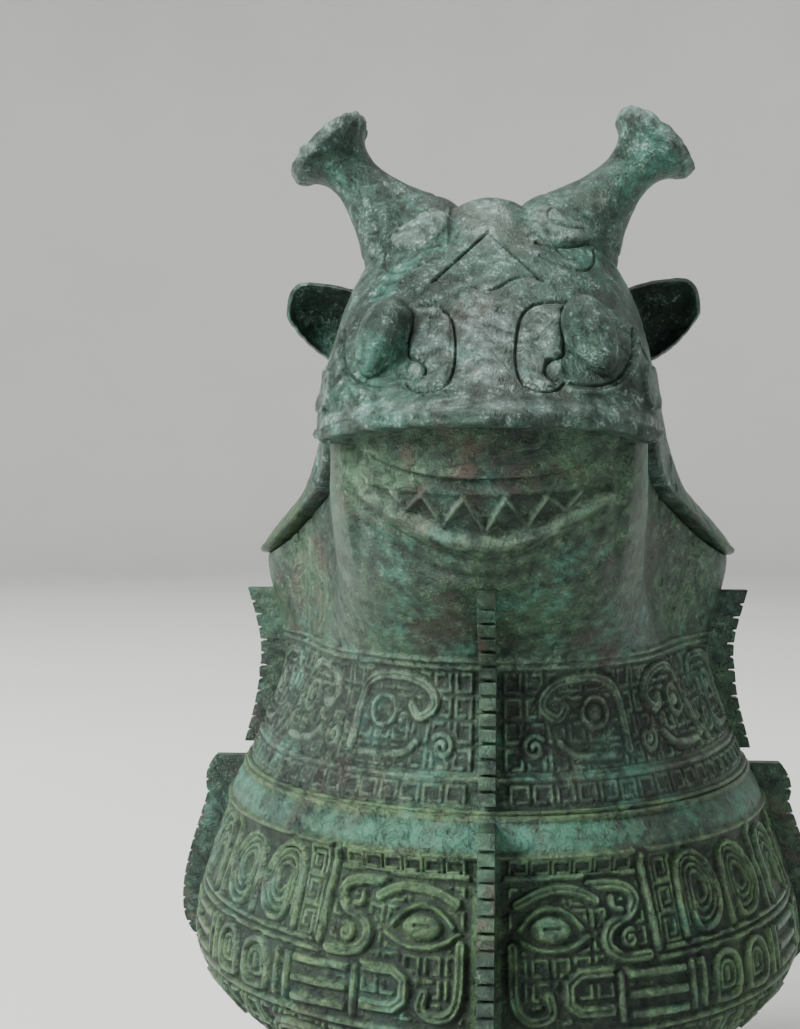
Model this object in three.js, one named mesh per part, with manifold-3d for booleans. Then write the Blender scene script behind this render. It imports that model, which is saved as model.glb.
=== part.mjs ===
// A bronze pouring vessel with a beast-headed lid, in millimetres, +Z up.
// The beast looks along -Y and the handle is at +Y, so the beast's left side is at +X.
import * as THREE from 'three';
import { mergeVertices } from 'three/addons/utils/BufferGeometryUtils.js';
import Module from 'manifold-3d';

const wasm = await Module();
wasm.setup();

// Heights of the vessel, each one added to the last
const FOOT_HEIGHT = 30;
const BELLY_RISE = 32;
const SHOULDER_RISE = 33;
const NECK_RISE = 30;
const RIM_RISE = 23;
const CHEEK_RISE = 26;
const MOUTH_RISE = 17;
const CHEEK_DIP = 1;

// Half widths of the vessel
const BASE_HALF_WIDTH = 47;
const BELLY_HALF_WIDTH = 70;
const SHOULDER_HALF_WIDTH = 60.5;
const NECK_HALF_WIDTH = 50.5;
const RIM_HALF_WIDTH = 55;
const THROAT_HALF_WIDTH = 40;
const SPOUT_HALF_WIDTH = 31;

// Reach of the vessel to the front and to the back of its widest line
const BASE_FRONT = 56;
const BELLY_FRONT = 81;
const SHOULDER_FRONT = 71;
const NECK_FRONT = 63;
const CHIN_FRONT = 84;
const MOUTH_FRONT = 93;
const BASE_BACK = 56;
const BELLY_BACK = 81;
const SHOULDER_BACK = 72;
const NECK_BACK = 65;
const RIM_BACK = 70;

// How far back the rounding of the front goes, and how late the spout opens into the bowl
const THROAT_ROUNDING = 46;
const CHIN_ROUNDING = 30;
const MOUTH_ROUNDING = 26;
const SPOUT_FLARE = 6;

// Walls, fits and the plain band at the shoulder
const VESSEL_WALL = 3.2;
const VESSEL_FLOOR = 4;
const BAND_HALF_HEIGHT = 5;
const BAND_PROUD = 1.6;
const FIT_GAP = 0.3;
const SLOPE_GAP = 0.42;

// The foot
const FOOT_INSET = 1.5;
const FOOT_SPLAY = 4.5;
const FOOT_WALL = 4;

// The lid
const LID_WALL = 3;
const LID_OVERHANG = 2;
const SNOUT_OVERHANG = 5;
const SEAT_THICKNESS = 3;
const TONGUE_WALL = 2;
const TONGUE_DEPTH = 6;
const RIM_BACK_RISE = 4;
const LEDGE_THICKNESS = 3;
const MOUTH_PANEL_HEIGHT = 10;
const MOUTH_PANEL_RECESS = 4;
const MOUTH_CORNER_SETBACK = 18;
const FACE_LENGTH = 44;
const FACE_HEIGHT = 45;
const CROWN_DIP = 1;
const HEAD_LENGTH = 12;
const NAPE_LENGTH = 26;
const NAPE_HEIGHT = 15;
const ROOF_HEIGHT = 36;
const REAR_MASK_HEIGHT = 42;
const REAR_MASK_SETBACK = 24;
const HEAD_ROUNDNESS = 0.85;
const ROOF_ROUNDNESS = 1.45;

// Horns, ears and eyes of the beast
const HORN_LENGTH = 28;
const HORN_BASE_RADIUS = 12;
const HORN_SINK = 3;
const HORN_CONE_RADIUS = 8;
const HORN_WAIST_RADIUS = 5;
const HORN_END_RADIUS = 9.6;
const HORN_END_EDGE = 2.2;
const HORN_END_DISH = 1;
const HORN_WAIST_HEIGHT = 17;
const HORN_TILT = 41;
const HORN_RAKE = 6;
const HORN_SPREAD = 16.5;
const HORN_SETBACK = 48;
const EAR_REACH = 14.5;
const EAR_HEIGHT = 20;
const EAR_THICKNESS = 5;
const EAR_TIP_REACH = 10.5;
const EAR_CUP = 3.2;
const EAR_CUP_HALF_WIDTH = 5.2;
const EAR_CUP_HALF_HEIGHT = 7.2;
const EAR_SETBACK = 62;
const EAR_CENTRE_DROP = 24;
const EYE_HALF_WIDTH = 5.4;
const EYE_HALF_HEIGHT = 9.2;
const EYE_BULGE = 5.6;
const EYE_FORWARD = 0.5;
const EYE_SPREAD = 19;
const EYE_RISE = 14;
const EYE_TILT = 20;
const REAR_EYE_RADIUS = 5;
const REAR_EYE_SPREAD = 15;
const REAR_EYE_SETBACK = 11;
const SPIGOT_RADIUS = 2.2;
const SPIGOT_LENGTH = 6;

// Flanges
const FLANGE_THICKNESS = 3.4;
const FLANGE_PROUD = 6.2;
const FLANGE_NOTCH_DEPTH = 1.6;
const FLANGE_NOTCH_PITCH = 6;
const FLANGE_ROOT = 8;
const FLANGE_END_GAP = 2.5;
const FLANGE_BAND_DROP = 1;
const NECK_FLANGE_TOP_DROP = 8;
const FLANGE_TOP_FLARE = 1.8;
const NECK_FLANGE_TAPER = 18;
const NOTCH_SHAPE = [[0, 0], [0.8, 0], [0.84, 1], [0.96, 1]];
const SPINE_PROUD = 6;

// The main lines of the cast ornament
const RELIEF_WIDTH = 4.4;
const RELIEF_HEIGHT = 1.2;
const RELIEF_SINK = 1.4;
const RELIEF_STEP = 18;
const ROOF_RELIEF_STEP = 8;
const BOSS_WIDTH = 8;
const GROOVE_WIDTH = 4;
const GROOVE_DEPTH = 1.1;
const LINE_HALF_HEIGHT = 1.3;
const LINE_PROUD = 0.9;
const BELLY_QUARTER = 118;
const NECK_QUARTER = 100;
// Level lines of the belly, along its side from the foot, and of the neck, up from the plain band
const BELLY_LINES = [10.2, 39.2, 52.5];
const NECK_LINES = [0.2, 5.6, 27.4];
// Raised lines of a quarter of the belly: how far round from the middle, and how far up from the register
const UPPER_REGISTER = 54;
const UPPER_STROKES = [
  [[22, 12.6], [29.6, 12.4], [32.6, 9.6], [30, 6], [25.6, 5], [24, 1.8], [27, -1.4], [33.4, -1.4]],
  [[36, 0], [34.8, 15.6]],
  [[5, 14.4], [18, 14.4], [32, 14.4]],
  [[23, 9.6], [18.6, 12], [12, 12], [6, 8.6]],
  [[43.6, 5], [43.6, 13.6], [47, 17.2], [52.6, 15.4], [56, 9.4], [54, 4], [49, 3.4]],
  [[58.8, 5], [58.8, 13], [62.4, 16.6], [69, 14.4], [72.4, 8], [70, 3], [65, 2.6]],
  [[80, 3], [80, 13], [86.5, 17], [93, 13], [93, 3]],
  [[97.4, 3], [97.4, 13], [103.9, 17], [110.4, 13], [110.4, 3]],
];
const UPPER_BOSS = [[11, 5], [15, 5]];
const MIDDLE_REGISTER = 40.4;
const MIDDLE_STROKES = [
  [[28, 9.2], [43.6, 8.6]],
  [[28, 5.4], [43.6, 4.8]],
  [[30, 1.8], [43.6, 1.2]],
  [[46.6, 1], [46.6, 9.8]],
  [[50, 1], [50, 8], [54, 10], [58, 8], [58, 1]],
  [[61.4, 1], [61.4, 8], [65.4, 10], [69.4, 8], [69.4, 1]],
];
const LOWER_REGISTER = 11.8;
const LOWER_STROKES = [
  [[50, 2], [50, 20], [46, 23.4], [34, 23.4], [30, 18.6], [35, 14.6]],
  [[20, 1.6], [20, 19], [15, 23], [8, 18]],
  [[88, 2], [88, 20], [84, 23.4], [72, 23.4], [68, 18.6], [73, 14.6]],
];
// The curling bodies of the neck, from their own middles and up from the second level line
const NECK_REGISTER = 7.2;
const NECK_MIDDLES = [22, 52, 84];
const NECK_STROKES = [
  [[11.5, 3], [11.5, 14], [6, 18], [-6, 17.6], [-11, 12.6], [-6, 9]],
];
// The lower lip and the teeth, in the front view: half width and height over the lowest point of the lip
const JAW_DROP = 12.4;
const JAW_LIP = [[-0.8, 0], [6, 0.8], [12, 3.6], [17, 7.7], [21, 12.2]];
const JAW_TEETH = [[-0.6, 2], [3.8, 9.6], [7.6, 3], [11.5, 10], [14.6, 6.6], [17.4, 10.6]];
const TOOTH_WIDTH = 3;
// Raised lines of the lid's roof: along its length, and down from the ridge
const ROOF_LINE = [[-22, 17], [0, 17], [25, 17], [50, 17]];
const ROOF_MIDDLES = [-4, 30];
const ROOF_STROKES = [
  [[14, 22], [14, 35], [8, 40], [-6, 39.4], [-12, 33], [-6, 27]],
  [[9, 21.4], [-12, 21.4]],
];
const ROOF_SCALES = [-10, 8, 26];
const ROOF_SCALE = [[0, 5], [5.6, 10], [0, 15]];
// Incised lines of the face in the front view: half width and height over the lip
const FACE_GROOVES = [
  [[31, 9], [28, 15.5], [21, 20.2], [14, 21.8], [8.5, 21.4], [5.8, 18], [5.2, 12], [6, 6.5], [9.5, 4.2]],
  [[-0.6, 36.5], [5, 31.5], [10.6, 26]],
];
const HORN_LOBE = { x: 15, rise: 39, halfWidth: 6.4, halfHeight: 3.9, proud: 2 };
// Raised lines of the mask on the lid's rear end, in the rear view: half width and height over the rim
const REAR_MASK_STROKES = [
  [[5, 38], [12, 39.4], [21, 36], [26, 29]],
  [[3, 35], [3.6, 24], [5.6, 17], [9.4, 18]],
  [[13, 16], [20, 17], [27, 23], [30, 18], [26, 12]],
];
// How much larger the space round an added piece is than the piece, where lines end at it
const CLEARANCE_SCALE = 1.06;

// The handle
const HANDLE_REACH = 150;
const HANDLE_WIDTH = 15;
const HANDLE_THICKNESS = 9;
const HANDLE_TOP_DROP = 16;
const HANDLE_FOOT_HEIGHT = 56;
const HANDLE_CORE_WIDTH = 6;
const HANDLE_CORE_DEPTH = 4;
const HANDLE_CORE_END_GAP = 1.6;
const HANDLE_HEAD_LENGTH = 42;
const HANDLE_HEAD_HALF_WIDTH = 15;
const HANDLE_HEAD_HALF_HEIGHT = 13;
const HANDLE_HEAD_REACH = 114;
const HANDLE_EAR_LENGTH = 11;
const HANDLE_EAR_SPREAD = 11;
const HANDLE_EAR_RISE = 6;
const HANDLE_EAR_UPWARD = 0.5;
const HANDLE_EAR_BACKWARD = -0.25;
const HANDLE_EAR_RADIUS = 4.4;
const HANDLE_EAR_SETBACK = 17;
const HANDLE_TAB_LENGTH = 20;
const HANDLE_TAB_DROP = 26;
const HANDLE_TAB_THICKNESS = 6;
// The clay core's start and end, as shares of the loop's middle line
const CORE_START = 0.2;
const CORE_END = 0.78;
// The head of the handle from the neck to the muzzle, as shares of its length, half width and half height
const HANDLE_HEAD_STATIONS = [
  { share: -0.3, width: 0.7, height: 0.75, drop: 0 },
  { share: 0.1, width: 0.85, height: 0.9, drop: 0 },
  { share: 0.4, width: 1, height: 1, drop: 0 },
  { share: 0.62, width: 0.92, height: 0.92, drop: 0.05 },
  { share: 0.8, width: 0.8, height: 0.72, drop: 0.22 },
  { share: 0.94, width: 0.76, height: 0.58, drop: 0.34 },
  { share: 1, width: 0.6, height: 0.4, drop: 0.4 },
];
// The hooked outline of the tail tab, as shares of its length along y and of its drop
const HANDLE_TAB_OUTLINE = [
  [-0.5, 0], [-0.5, 0.5], [-0.2, 0.9], [0.1, 1], [0.5, 0.85], [0.3, 0.6], [0.45, 0.25], [0.5, 0],
];

// How finely curves are cut
const OUTLINE_STEPS = 16;
const LEVELS_PER_RISE = 4;
const ARCH_STEPS = 14;
const ARCH_STATIONS = 28;
const LATHE_STEPS = 16;
const CURVE_STEPS = 5;
const SQUARE_CORNERS = 4;
const WELD = 1e-4;
// How far a cutting solid runs past what it cuts, and the step over which a slope is taken
const CUT_MARGIN = 1;
const SLOPE_STEP = 0.5;

// Heights and reaches worked out from the sizes above
const BELLY_Z = FOOT_HEIGHT + BELLY_RISE;
const SHOULDER_Z = BELLY_Z + SHOULDER_RISE;
const NECK_Z = SHOULDER_Z + NECK_RISE;
const RIM_Z = NECK_Z + RIM_RISE;
const CHEEK_Z = RIM_Z + CHEEK_RISE;
const MOUTH_Z = RIM_Z + MOUTH_RISE;
const LIP_Z = MOUTH_Z + MOUTH_PANEL_HEIGHT + LEDGE_THICKNESS;
const CUT_TOP = CHEEK_Z + 2 * FACE_HEIGHT;
const LID_FRONT = -(MOUTH_FRONT + SNOUT_OVERHANG);
const LID_BACK = RIM_BACK + LID_OVERHANG;
const CROWN_Y = LID_FRONT + FACE_LENGTH;
const NAPE_Y = CROWN_Y + HEAD_LENGTH + NAPE_LENGTH;
const CROWN_Z = LIP_Z + FACE_HEIGHT;
const REACH_ACROSS = 2 * BELLY_HALF_WIDTH;

const VESSEL = [
  { z: FOOT_HEIGHT, halfWidth: BASE_HALF_WIDTH, front: BASE_FRONT, back: BASE_BACK,
    spout: BASE_HALF_WIDTH, tip: BASE_FRONT },
  { z: BELLY_Z, halfWidth: BELLY_HALF_WIDTH, front: BELLY_FRONT, back: BELLY_BACK,
    spout: BELLY_HALF_WIDTH, tip: BELLY_FRONT },
  { z: SHOULDER_Z, halfWidth: SHOULDER_HALF_WIDTH, front: SHOULDER_FRONT, back: SHOULDER_BACK,
    spout: SHOULDER_HALF_WIDTH, tip: SHOULDER_FRONT },
  { z: NECK_Z, halfWidth: NECK_HALF_WIDTH, front: NECK_FRONT, back: NECK_BACK,
    spout: THROAT_HALF_WIDTH, tip: THROAT_ROUNDING },
  { z: RIM_Z, halfWidth: RIM_HALF_WIDTH, front: CHIN_FRONT, back: RIM_BACK,
    spout: SPOUT_HALF_WIDTH, tip: CHIN_ROUNDING },
  { z: MOUTH_Z, halfWidth: RIM_HALF_WIDTH, front: MOUTH_FRONT, back: RIM_BACK,
    spout: SPOUT_HALF_WIDTH, tip: MOUTH_ROUNDING },
  { z: CUT_TOP, halfWidth: RIM_HALF_WIDTH, front: MOUTH_FRONT, back: RIM_BACK,
    spout: SPOUT_HALF_WIDTH, tip: MOUTH_ROUNDING },
];

// Height of the vessel's rim along its length: high at the cheeks, lower at the mouth
const RIM = [
  { y: LID_FRONT, z: MOUTH_Z },
  { y: LID_FRONT + MOUTH_CORNER_SETBACK, z: CHEEK_Z - CHEEK_DIP },
  { y: CROWN_Y - HEAD_LENGTH, z: CHEEK_Z },
  { y: CROWN_Y + 2 * HEAD_LENGTH, z: RIM_Z + CHEEK_RISE / 2 },
  { y: 0, z: RIM_Z },
  { y: RIM_BACK / 2, z: RIM_Z },
  { y: LID_BACK, z: RIM_Z + RIM_BACK_RISE },
];

// Height of the lid's crest along its length: lip, face, crown, nape, roof, rear mask
const CREST = [
  { y: LID_FRONT, z: LIP_Z },
  { y: LID_FRONT + SNOUT_OVERHANG, z: LIP_Z + SNOUT_OVERHANG },
  { y: CROWN_Y - FACE_LENGTH / 3, z: CROWN_Z - FACE_HEIGHT / 4 },
  { y: CROWN_Y, z: CROWN_Z },
  { y: CROWN_Y + HEAD_LENGTH, z: CROWN_Z - CROWN_DIP },
  { y: NAPE_Y, z: LIP_Z + NAPE_HEIGHT },
  { y: 0, z: RIM_Z + ROOF_HEIGHT },
  { y: LID_BACK - REAR_MASK_SETBACK, z: RIM_Z + REAR_MASK_HEIGHT },
  { y: LID_BACK - REAR_EYE_SETBACK, z: RIM_Z + ROOF_HEIGHT },
  { y: LID_BACK, z: RIM_Z + RIM_BACK_RISE + SEAT_THICKNESS },
];

// One field of a list of stations at a place between them, on a smooth curve through the stations
function fair(stations, axis, field, place) {
  const last = stations.length - 1;
  if (place <= stations[0][axis]) return stations[0][field];
  if (place >= stations[last][axis]) return stations[last][field];
  let i = 0;
  while (stations[i + 1][axis] < place) i += 1;
  const change = (j, key) => stations[j + 1][key] - stations[j][key];
  const gradient = (j) => change(j, field) / change(j, axis);
  const slope = (j) => {
    if (j === 0 || j === last) return 0;
    const before = gradient(j - 1);
    const after = gradient(j);
    return before * after <= 0 ? 0 : 2 * before * after / (before + after);
  };
  const span = change(i, axis);
  const u = (place - stations[i][axis]) / span;
  const start = (1 + 2 * u) * (1 - u) ** 2 * stations[i][field] + u * (1 - u) ** 2 * span * slope(i);
  const end = u ** 2 * (3 - 2 * u) * stations[i + 1][field] + u ** 2 * (u - 1) * span * slope(i + 1);
  return start + end;
}

// The side of the belly, along which the heights of its ornament are measured
const bellySide = new THREE.CatmullRomCurve3(Array.from({ length: 2 * OUTLINE_STEPS + 1 }, (_, k) => {
  const z = THREE.MathUtils.lerp(FOOT_HEIGHT, SHOULDER_Z, k / (2 * OUTLINE_STEPS));
  return new THREE.Vector3(fair(VESSEL, 'z', 'halfWidth', z), 0, z);
}));
const bellySideLength = bellySide.getLength();
const bellyHeight = (along) => bellySide.getPointAt(along / bellySideLength).z;
const bandTop = SHOULDER_Z + BAND_HALF_HEIGHT + LINE_HALF_HEIGHT;
const levelLines = [...BELLY_LINES.map(bellyHeight), ...NECK_LINES.map((up) => bandTop + up)];

// Level outline of the vessel at one height, grown outward or shrunk inward
function vesselSection(z, grow) {
  const offBand = (z - SHOULDER_Z) / BAND_HALF_HEIGHT;
  const lines = levelLines.map((level) => LINE_PROUD * (1 - Math.abs(z - level) / LINE_HALF_HEIGHT));
  const band = grow < 0 ? 0 : Math.max(0, BAND_PROUD * (1 - offBand ** 2), ...lines);
  const read = (field) => fair(VESSEL, 'z', field, z) + grow + band;
  return {
    halfWidth: read('halfWidth'),
    front: read('front'),
    back: read('back'),
    spout: read('spout'),
    tip: read('tip'),
  };
}

// Outline of the lid's edge seen from above
function lidSection(grow) {
  return {
    halfWidth: RIM_HALF_WIDTH + LID_OVERHANG + grow,
    front: -LID_FRONT + grow,
    back: LID_BACK + grow,
    spout: SPOUT_HALF_WIDTH + LID_OVERHANG + grow,
    tip: MOUTH_ROUNDING + grow,
  };
}

// Half width of an outline at one place along its length: a spout that opens into a bowl, with round ends
function halfWidthAt(section, y) {
  const along = THREE.MathUtils.clamp((y + section.front) / section.front, 0, 1);
  const opening = along ** SPOUT_FLARE * (1 + SPOUT_FLARE * (1 - along));
  const fromTip = THREE.MathUtils.clamp((y + section.front) / section.tip, 0, 1);
  const fromTail = THREE.MathUtils.clamp((section.back - y) / section.back, 0, 1);
  const rounding = Math.sqrt((1 - (1 - fromTip) ** 2) * (1 - (1 - fromTail) ** 2));
  return THREE.MathUtils.lerp(section.spout, section.halfWidth, opening) * rounding;
}

// Ring of points round an outline at one height, from the front tip round the +X side
function levelRing(section, z) {
  const places = [];
  const middle = (section.back - section.front) / 2;
  const halfLength = (section.back + section.front) / 2;
  for (let k = 0; k <= OUTLINE_STEPS; k += 1) {
    places.push(middle - halfLength * Math.cos(Math.PI * k / OUTLINE_STEPS));
  }
  const right = places.map((y) => new THREE.Vector3(halfWidthAt(section, y), y, z));
  const left = right.slice(1, -1).reverse().map((p) => new THREE.Vector3(-p.x, p.y, z));
  return [...right, ...left];
}

// Closed surface over a stack of rings that have the same number of points, with flat ends
function loft(rings) {
  const count = rings[0].length;
  const points = rings.flat();
  const faces = [];
  for (let r = 0; r + 1 < rings.length; r += 1) {
    for (let i = 0; i < count; i += 1) {
      const a = r * count + i;
      const b = r * count + (i + 1) % count;
      faces.push(a, b, b + count, a, b + count, a + count);
    }
  }
  const cap = (ring, first, forward) => {
    const centre = ring.reduce((sum, p) => sum.add(p), new THREE.Vector3()).divideScalar(count);
    points.push(centre);
    for (let i = 0; i < count; i += 1) {
      const j = (i + 1) % count;
      faces.push(points.length - 1, first + (forward ? i : j), first + (forward ? j : i));
    }
  };
  cap(rings[0], 0, false);
  cap(rings[rings.length - 1], (rings.length - 1) * count, true);
  return new THREE.BufferGeometry().setFromPoints(points).setIndex(faces);
}

// Three.js geometry as a solid for cutting and joining
function solid(geometry) {
  const bare = new THREE.BufferGeometry().setAttribute('position', geometry.attributes.position);
  bare.setIndex(geometry.index);
  const welded = mergeVertices(bare, WELD);
  const mesh = new wasm.Mesh({
    numProp: 3,
    vertProperties: new Float32Array(welded.attributes.position.array),
    triVerts: new Uint32Array(welded.index.array),
  });
  return new wasm.Manifold(mesh);
}

// Solid as three.js geometry
function geometryOf(body) {
  const { vertProperties, triVerts } = body.getMesh();
  const geometry = new THREE.BufferGeometry();
  geometry.setAttribute('position', new THREE.BufferAttribute(vertProperties, 3));
  geometry.setIndex(new THREE.BufferAttribute(triVerts, 1));
  geometry.computeVertexNormals();
  return geometry;
}

// Filled vessel shape between two heights
function vesselLoft(grow, bottom, top) {
  const edges = (middle, half) => [middle - half, middle, middle + half];
  const lines = grow < 0 ? [] : levelLines.flatMap((level) => edges(level, LINE_HALF_HEIGHT));
  const band = edges(SHOULDER_Z, BAND_HALF_HEIGHT);
  const marks = [bottom, ...VESSEL.map((station) => station.z), ...band, ...lines, top]
    .filter((z) => z >= bottom && z <= top).sort((a, b) => a - b);
  const levels = [];
  for (let i = 0; i + 1 < marks.length; i += 1) {
    const rise = marks[i + 1] - marks[i];
    const steps = Math.max(1, Math.min(LEVELS_PER_RISE, Math.round(rise / BAND_HALF_HEIGHT)));
    if (rise < WELD) continue;
    for (let s = 0; s < steps; s += 1) levels.push(marks[i] + rise * s / steps);
  }
  levels.push(top);
  return solid(loft(levels.map((z) => levelRing(vesselSection(z, grow), z))));
}

// Plate whose outline is drawn in the side view and which is centred on the middle plane
function sidePlate(outline, thickness) {
  const settings = { depth: thickness, bevelEnabled: false };
  const geometry = new THREE.ExtrudeGeometry(new THREE.Shape(outline), settings);
  geometry.translate(0, 0, -thickness / 2);
  const turned = new THREE.Matrix4().makeBasis(
    new THREE.Vector3(0, 1, 0),
    new THREE.Vector3(0, 0, 1),
    new THREE.Vector3(1, 0, 0),
  );
  return solid(geometry.applyMatrix4(turned));
}

const rimHeight = (y) => fair(RIM, 'y', 'z', y);
const crestHeight = (y) => fair(CREST, 'y', 'z', y);

// Everything above or below the rim, with the rim raised by some height
function rimCut(raised, far) {
  const outline = [];
  const start = LID_FRONT - FACE_LENGTH;
  const end = LID_BACK + FACE_LENGTH;
  for (let k = 0; k <= ARCH_STATIONS; k += 1) {
    const y = THREE.MathUtils.lerp(start, end, k / ARCH_STATIONS);
    outline.push(new THREE.Vector2(y, rimHeight(y) + raised));
  }
  outline.push(new THREE.Vector2(end, far), new THREE.Vector2(start, far));
  return sidePlate(outline, 2 * REACH_ACROSS);
}
const aboveRim = (raised) => rimCut(raised, CUT_TOP + FACE_HEIGHT);
const belowRim = (raised) => rimCut(raised, 0);

// Roundness of the lid's cross section: boxy at the head, gabled at the roof
function roundnessAt(y) {
  const t = THREE.MathUtils.smoothstep(y, CROWN_Y + HEAD_LENGTH, NAPE_Y);
  return THREE.MathUtils.lerp(HEAD_ROUNDNESS, ROOF_ROUNDNESS, t);
}

// Height of the lid's outer surface
function lidHeight(x, y) {
  const across = Math.min(Math.abs(x) / halfWidthAt(lidSection(0), y), 1);
  const power = 2 / roundnessAt(y);
  return rimHeight(y) + (crestHeight(y) - rimHeight(y)) * (1 - across ** power) ** (1 / power);
}

// Filled lid shape: arches from edge to edge over the length, carried down below the rim
function lidLoft(grow, front, back) {
  const section = lidSection(grow);
  const rings = [];
  for (let k = 0; k <= ARCH_STATIONS; k += 1) {
    const y = (front + back) / 2 - (back - front) / 2 * Math.cos(Math.PI * k / ARCH_STATIONS);
    const halfWidth = halfWidthAt(section, y);
    const base = rimHeight(y);
    const rise = Math.max(crestHeight(y) + grow - base, LEDGE_THICKNESS / 2);
    const roundness = roundnessAt(y);
    const ring = [new THREE.Vector3(-halfWidth, y, NECK_Z)];
    for (let s = 0; s <= ARCH_STEPS; s += 1) {
      const turn = Math.PI * s / ARCH_STEPS;
      const x = -Math.sign(Math.cos(turn)) * halfWidth * Math.abs(Math.cos(turn)) ** roundness;
      ring.push(new THREE.Vector3(x, y, base + rise * Math.abs(Math.sin(turn)) ** roundness));
    }
    ring.push(new THREE.Vector3(halfWidth, y, NECK_Z));
    rings.push(ring);
  }
  return solid(loft(rings));
}

// Place of a thing that stands on a surface: its own +Y points along the given direction
function standing(position, direction) {
  const ownAxis = new THREE.Vector3(0, 1, 0);
  const turn = new THREE.Quaternion().setFromUnitVectors(ownAxis, direction.clone().normalize());
  return new THREE.Matrix4().compose(position, turn, new THREE.Vector3(1, 1, 1));
}

// Named piece placed in the scene; its solid is given in the object's frame
function piece(name, body, colour, roughness, metalness, place = new THREE.Matrix4()) {
  const local = body.transform(place.clone().invert().elements);
  const material = new THREE.MeshStandardMaterial({ color: colour, roughness, metalness });
  const mesh = new THREE.Mesh(geometryOf(local), material);
  mesh.name = name;
  mesh.applyMatrix4(place);
  return mesh;
}

const PATINA = 0x3f6a58;
const PATINA_DARK = 0x2f4f44;
const PATINA_LIGHT = 0x5c8672;
const CLAY = 0x8a7a66;
const BRONZE_ROUGHNESS = 0.55;
const BRONZE_METALNESS = 0.65;
const CLAY_ROUGHNESS = 0.95;
function bronze(name, body, colour = PATINA, place = undefined) {
  return piece(name, body, colour, BRONZE_ROUGHNESS, BRONZE_METALNESS, place);
}

// Peg cast on a shell, over which an added piece is cast, and the socket for it
function spigot(place, radius, length) {
  const geometry = new THREE.CylinderGeometry(radius, radius, 2 * length, LATHE_STEPS);
  return solid(geometry.applyMatrix4(place));
}

// The vessel with its hollow, open along the rim
const vesselFilled = vesselLoft(0, FOOT_HEIGHT, CUT_TOP);
const vesselGrown = vesselLoft(SLOPE_GAP, FOOT_HEIGHT - FIT_GAP, CUT_TOP);
const vesselHollow = vesselLoft(-VESSEL_WALL, FOOT_HEIGHT + VESSEL_FLOOR, CUT_TOP + CUT_MARGIN);
const vesselShell = vesselFilled.subtract(vesselHollow).subtract(aboveRim(0));

// The foot: an oval ring that splays down to the floor
function footSection(share, grow) {
  const spread = FOOT_SPLAY * share - FOOT_INSET + grow;
  const halfWidth = BASE_HALF_WIDTH + spread;
  const front = BASE_FRONT + spread;
  return { halfWidth, front, back: BASE_BACK + spread, spout: halfWidth, tip: front };
}
function footLoft(grow, bottom, top) {
  const rings = [];
  for (let s = 0; s <= LEVELS_PER_RISE; s += 1) {
    const z = THREE.MathUtils.lerp(bottom, top, s / LEVELS_PER_RISE);
    const share = THREE.MathUtils.clamp(1 - z / FOOT_HEIGHT, 0, 1);
    rings.push(levelRing(footSection(share ** 2, grow), z));
  }
  return solid(loft(rings));
}
const footTop = FOOT_HEIGHT - FIT_GAP;
const footShell = footLoft(0, 0, footTop).subtract(footLoft(-FOOT_WALL, -CUT_MARGIN, FOOT_HEIGHT));

// The lid: a shell with a seat on the rim, a recessed mouth panel and a tongue inside the rim
const lidFilled = lidLoft(0, LID_FRONT + FIT_GAP, LID_BACK - FIT_GAP);
const lidGrown = lidLoft(SLOPE_GAP, LID_FRONT, LID_BACK);
const lidHollow = lidLoft(-LID_WALL, LID_FRONT + SNOUT_OVERHANG + 2 * LID_WALL, LID_BACK - 2 * LID_WALL)
  .subtract(belowRim(SEAT_THICKNESS));
const tongueOuter = vesselLoft(-VESSEL_WALL - FIT_GAP, NECK_Z, CUT_TOP);
const tongueInset = VESSEL_WALL + FIT_GAP + TONGUE_WALL;
const tongueInner = vesselLoft(-tongueInset, NECK_Z - CUT_MARGIN, CUT_TOP + CUT_MARGIN);
const tongue = tongueOuter.subtract(tongueInner).subtract(belowRim(-TONGUE_DEPTH))
  .subtract(aboveRim(SEAT_THICKNESS / 2));
const panelBlock = new THREE.BoxGeometry(REACH_ACROSS, 2 * MOUTH_CORNER_SETBACK, 2 * MOUTH_PANEL_HEIGHT);
const mouthPanel = solid(panelBlock.translate(0, LID_FRONT, MOUTH_Z))
  .subtract(vesselLoft(SNOUT_OVERHANG - MOUTH_PANEL_RECESS, NECK_Z, CUT_TOP));
const lidShell = lidFilled.subtract(belowRim(FIT_GAP)).subtract(lidHollow)
  .subtract(tongueInner.subtract(aboveRim(SEAT_THICKNESS + CUT_MARGIN))).subtract(mouthPanel).add(tongue);

// Height on the face at a given width: the place along the length where the surface is that high
function facePoint(x, z) {
  let low = LID_FRONT + FIT_GAP;
  let high = CROWN_Y;
  while (high - low > WELD) {
    const middle = (low + high) / 2;
    if (lidHeight(x, middle) < z) low = middle;
    else high = middle;
  }
  return new THREE.Vector3(x, low, z);
}

// Outward direction of the lid's surface
function lidNormal(x, y) {
  const along = (lidHeight(x, y + SLOPE_STEP) - lidHeight(x, y - SLOPE_STEP)) / (2 * SLOPE_STEP);
  const across = (lidHeight(x + SLOPE_STEP, y) - lidHeight(x - SLOPE_STEP, y)) / (2 * SLOPE_STEP);
  return new THREE.Vector3(-across, -along, 1).normalize();
}

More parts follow.
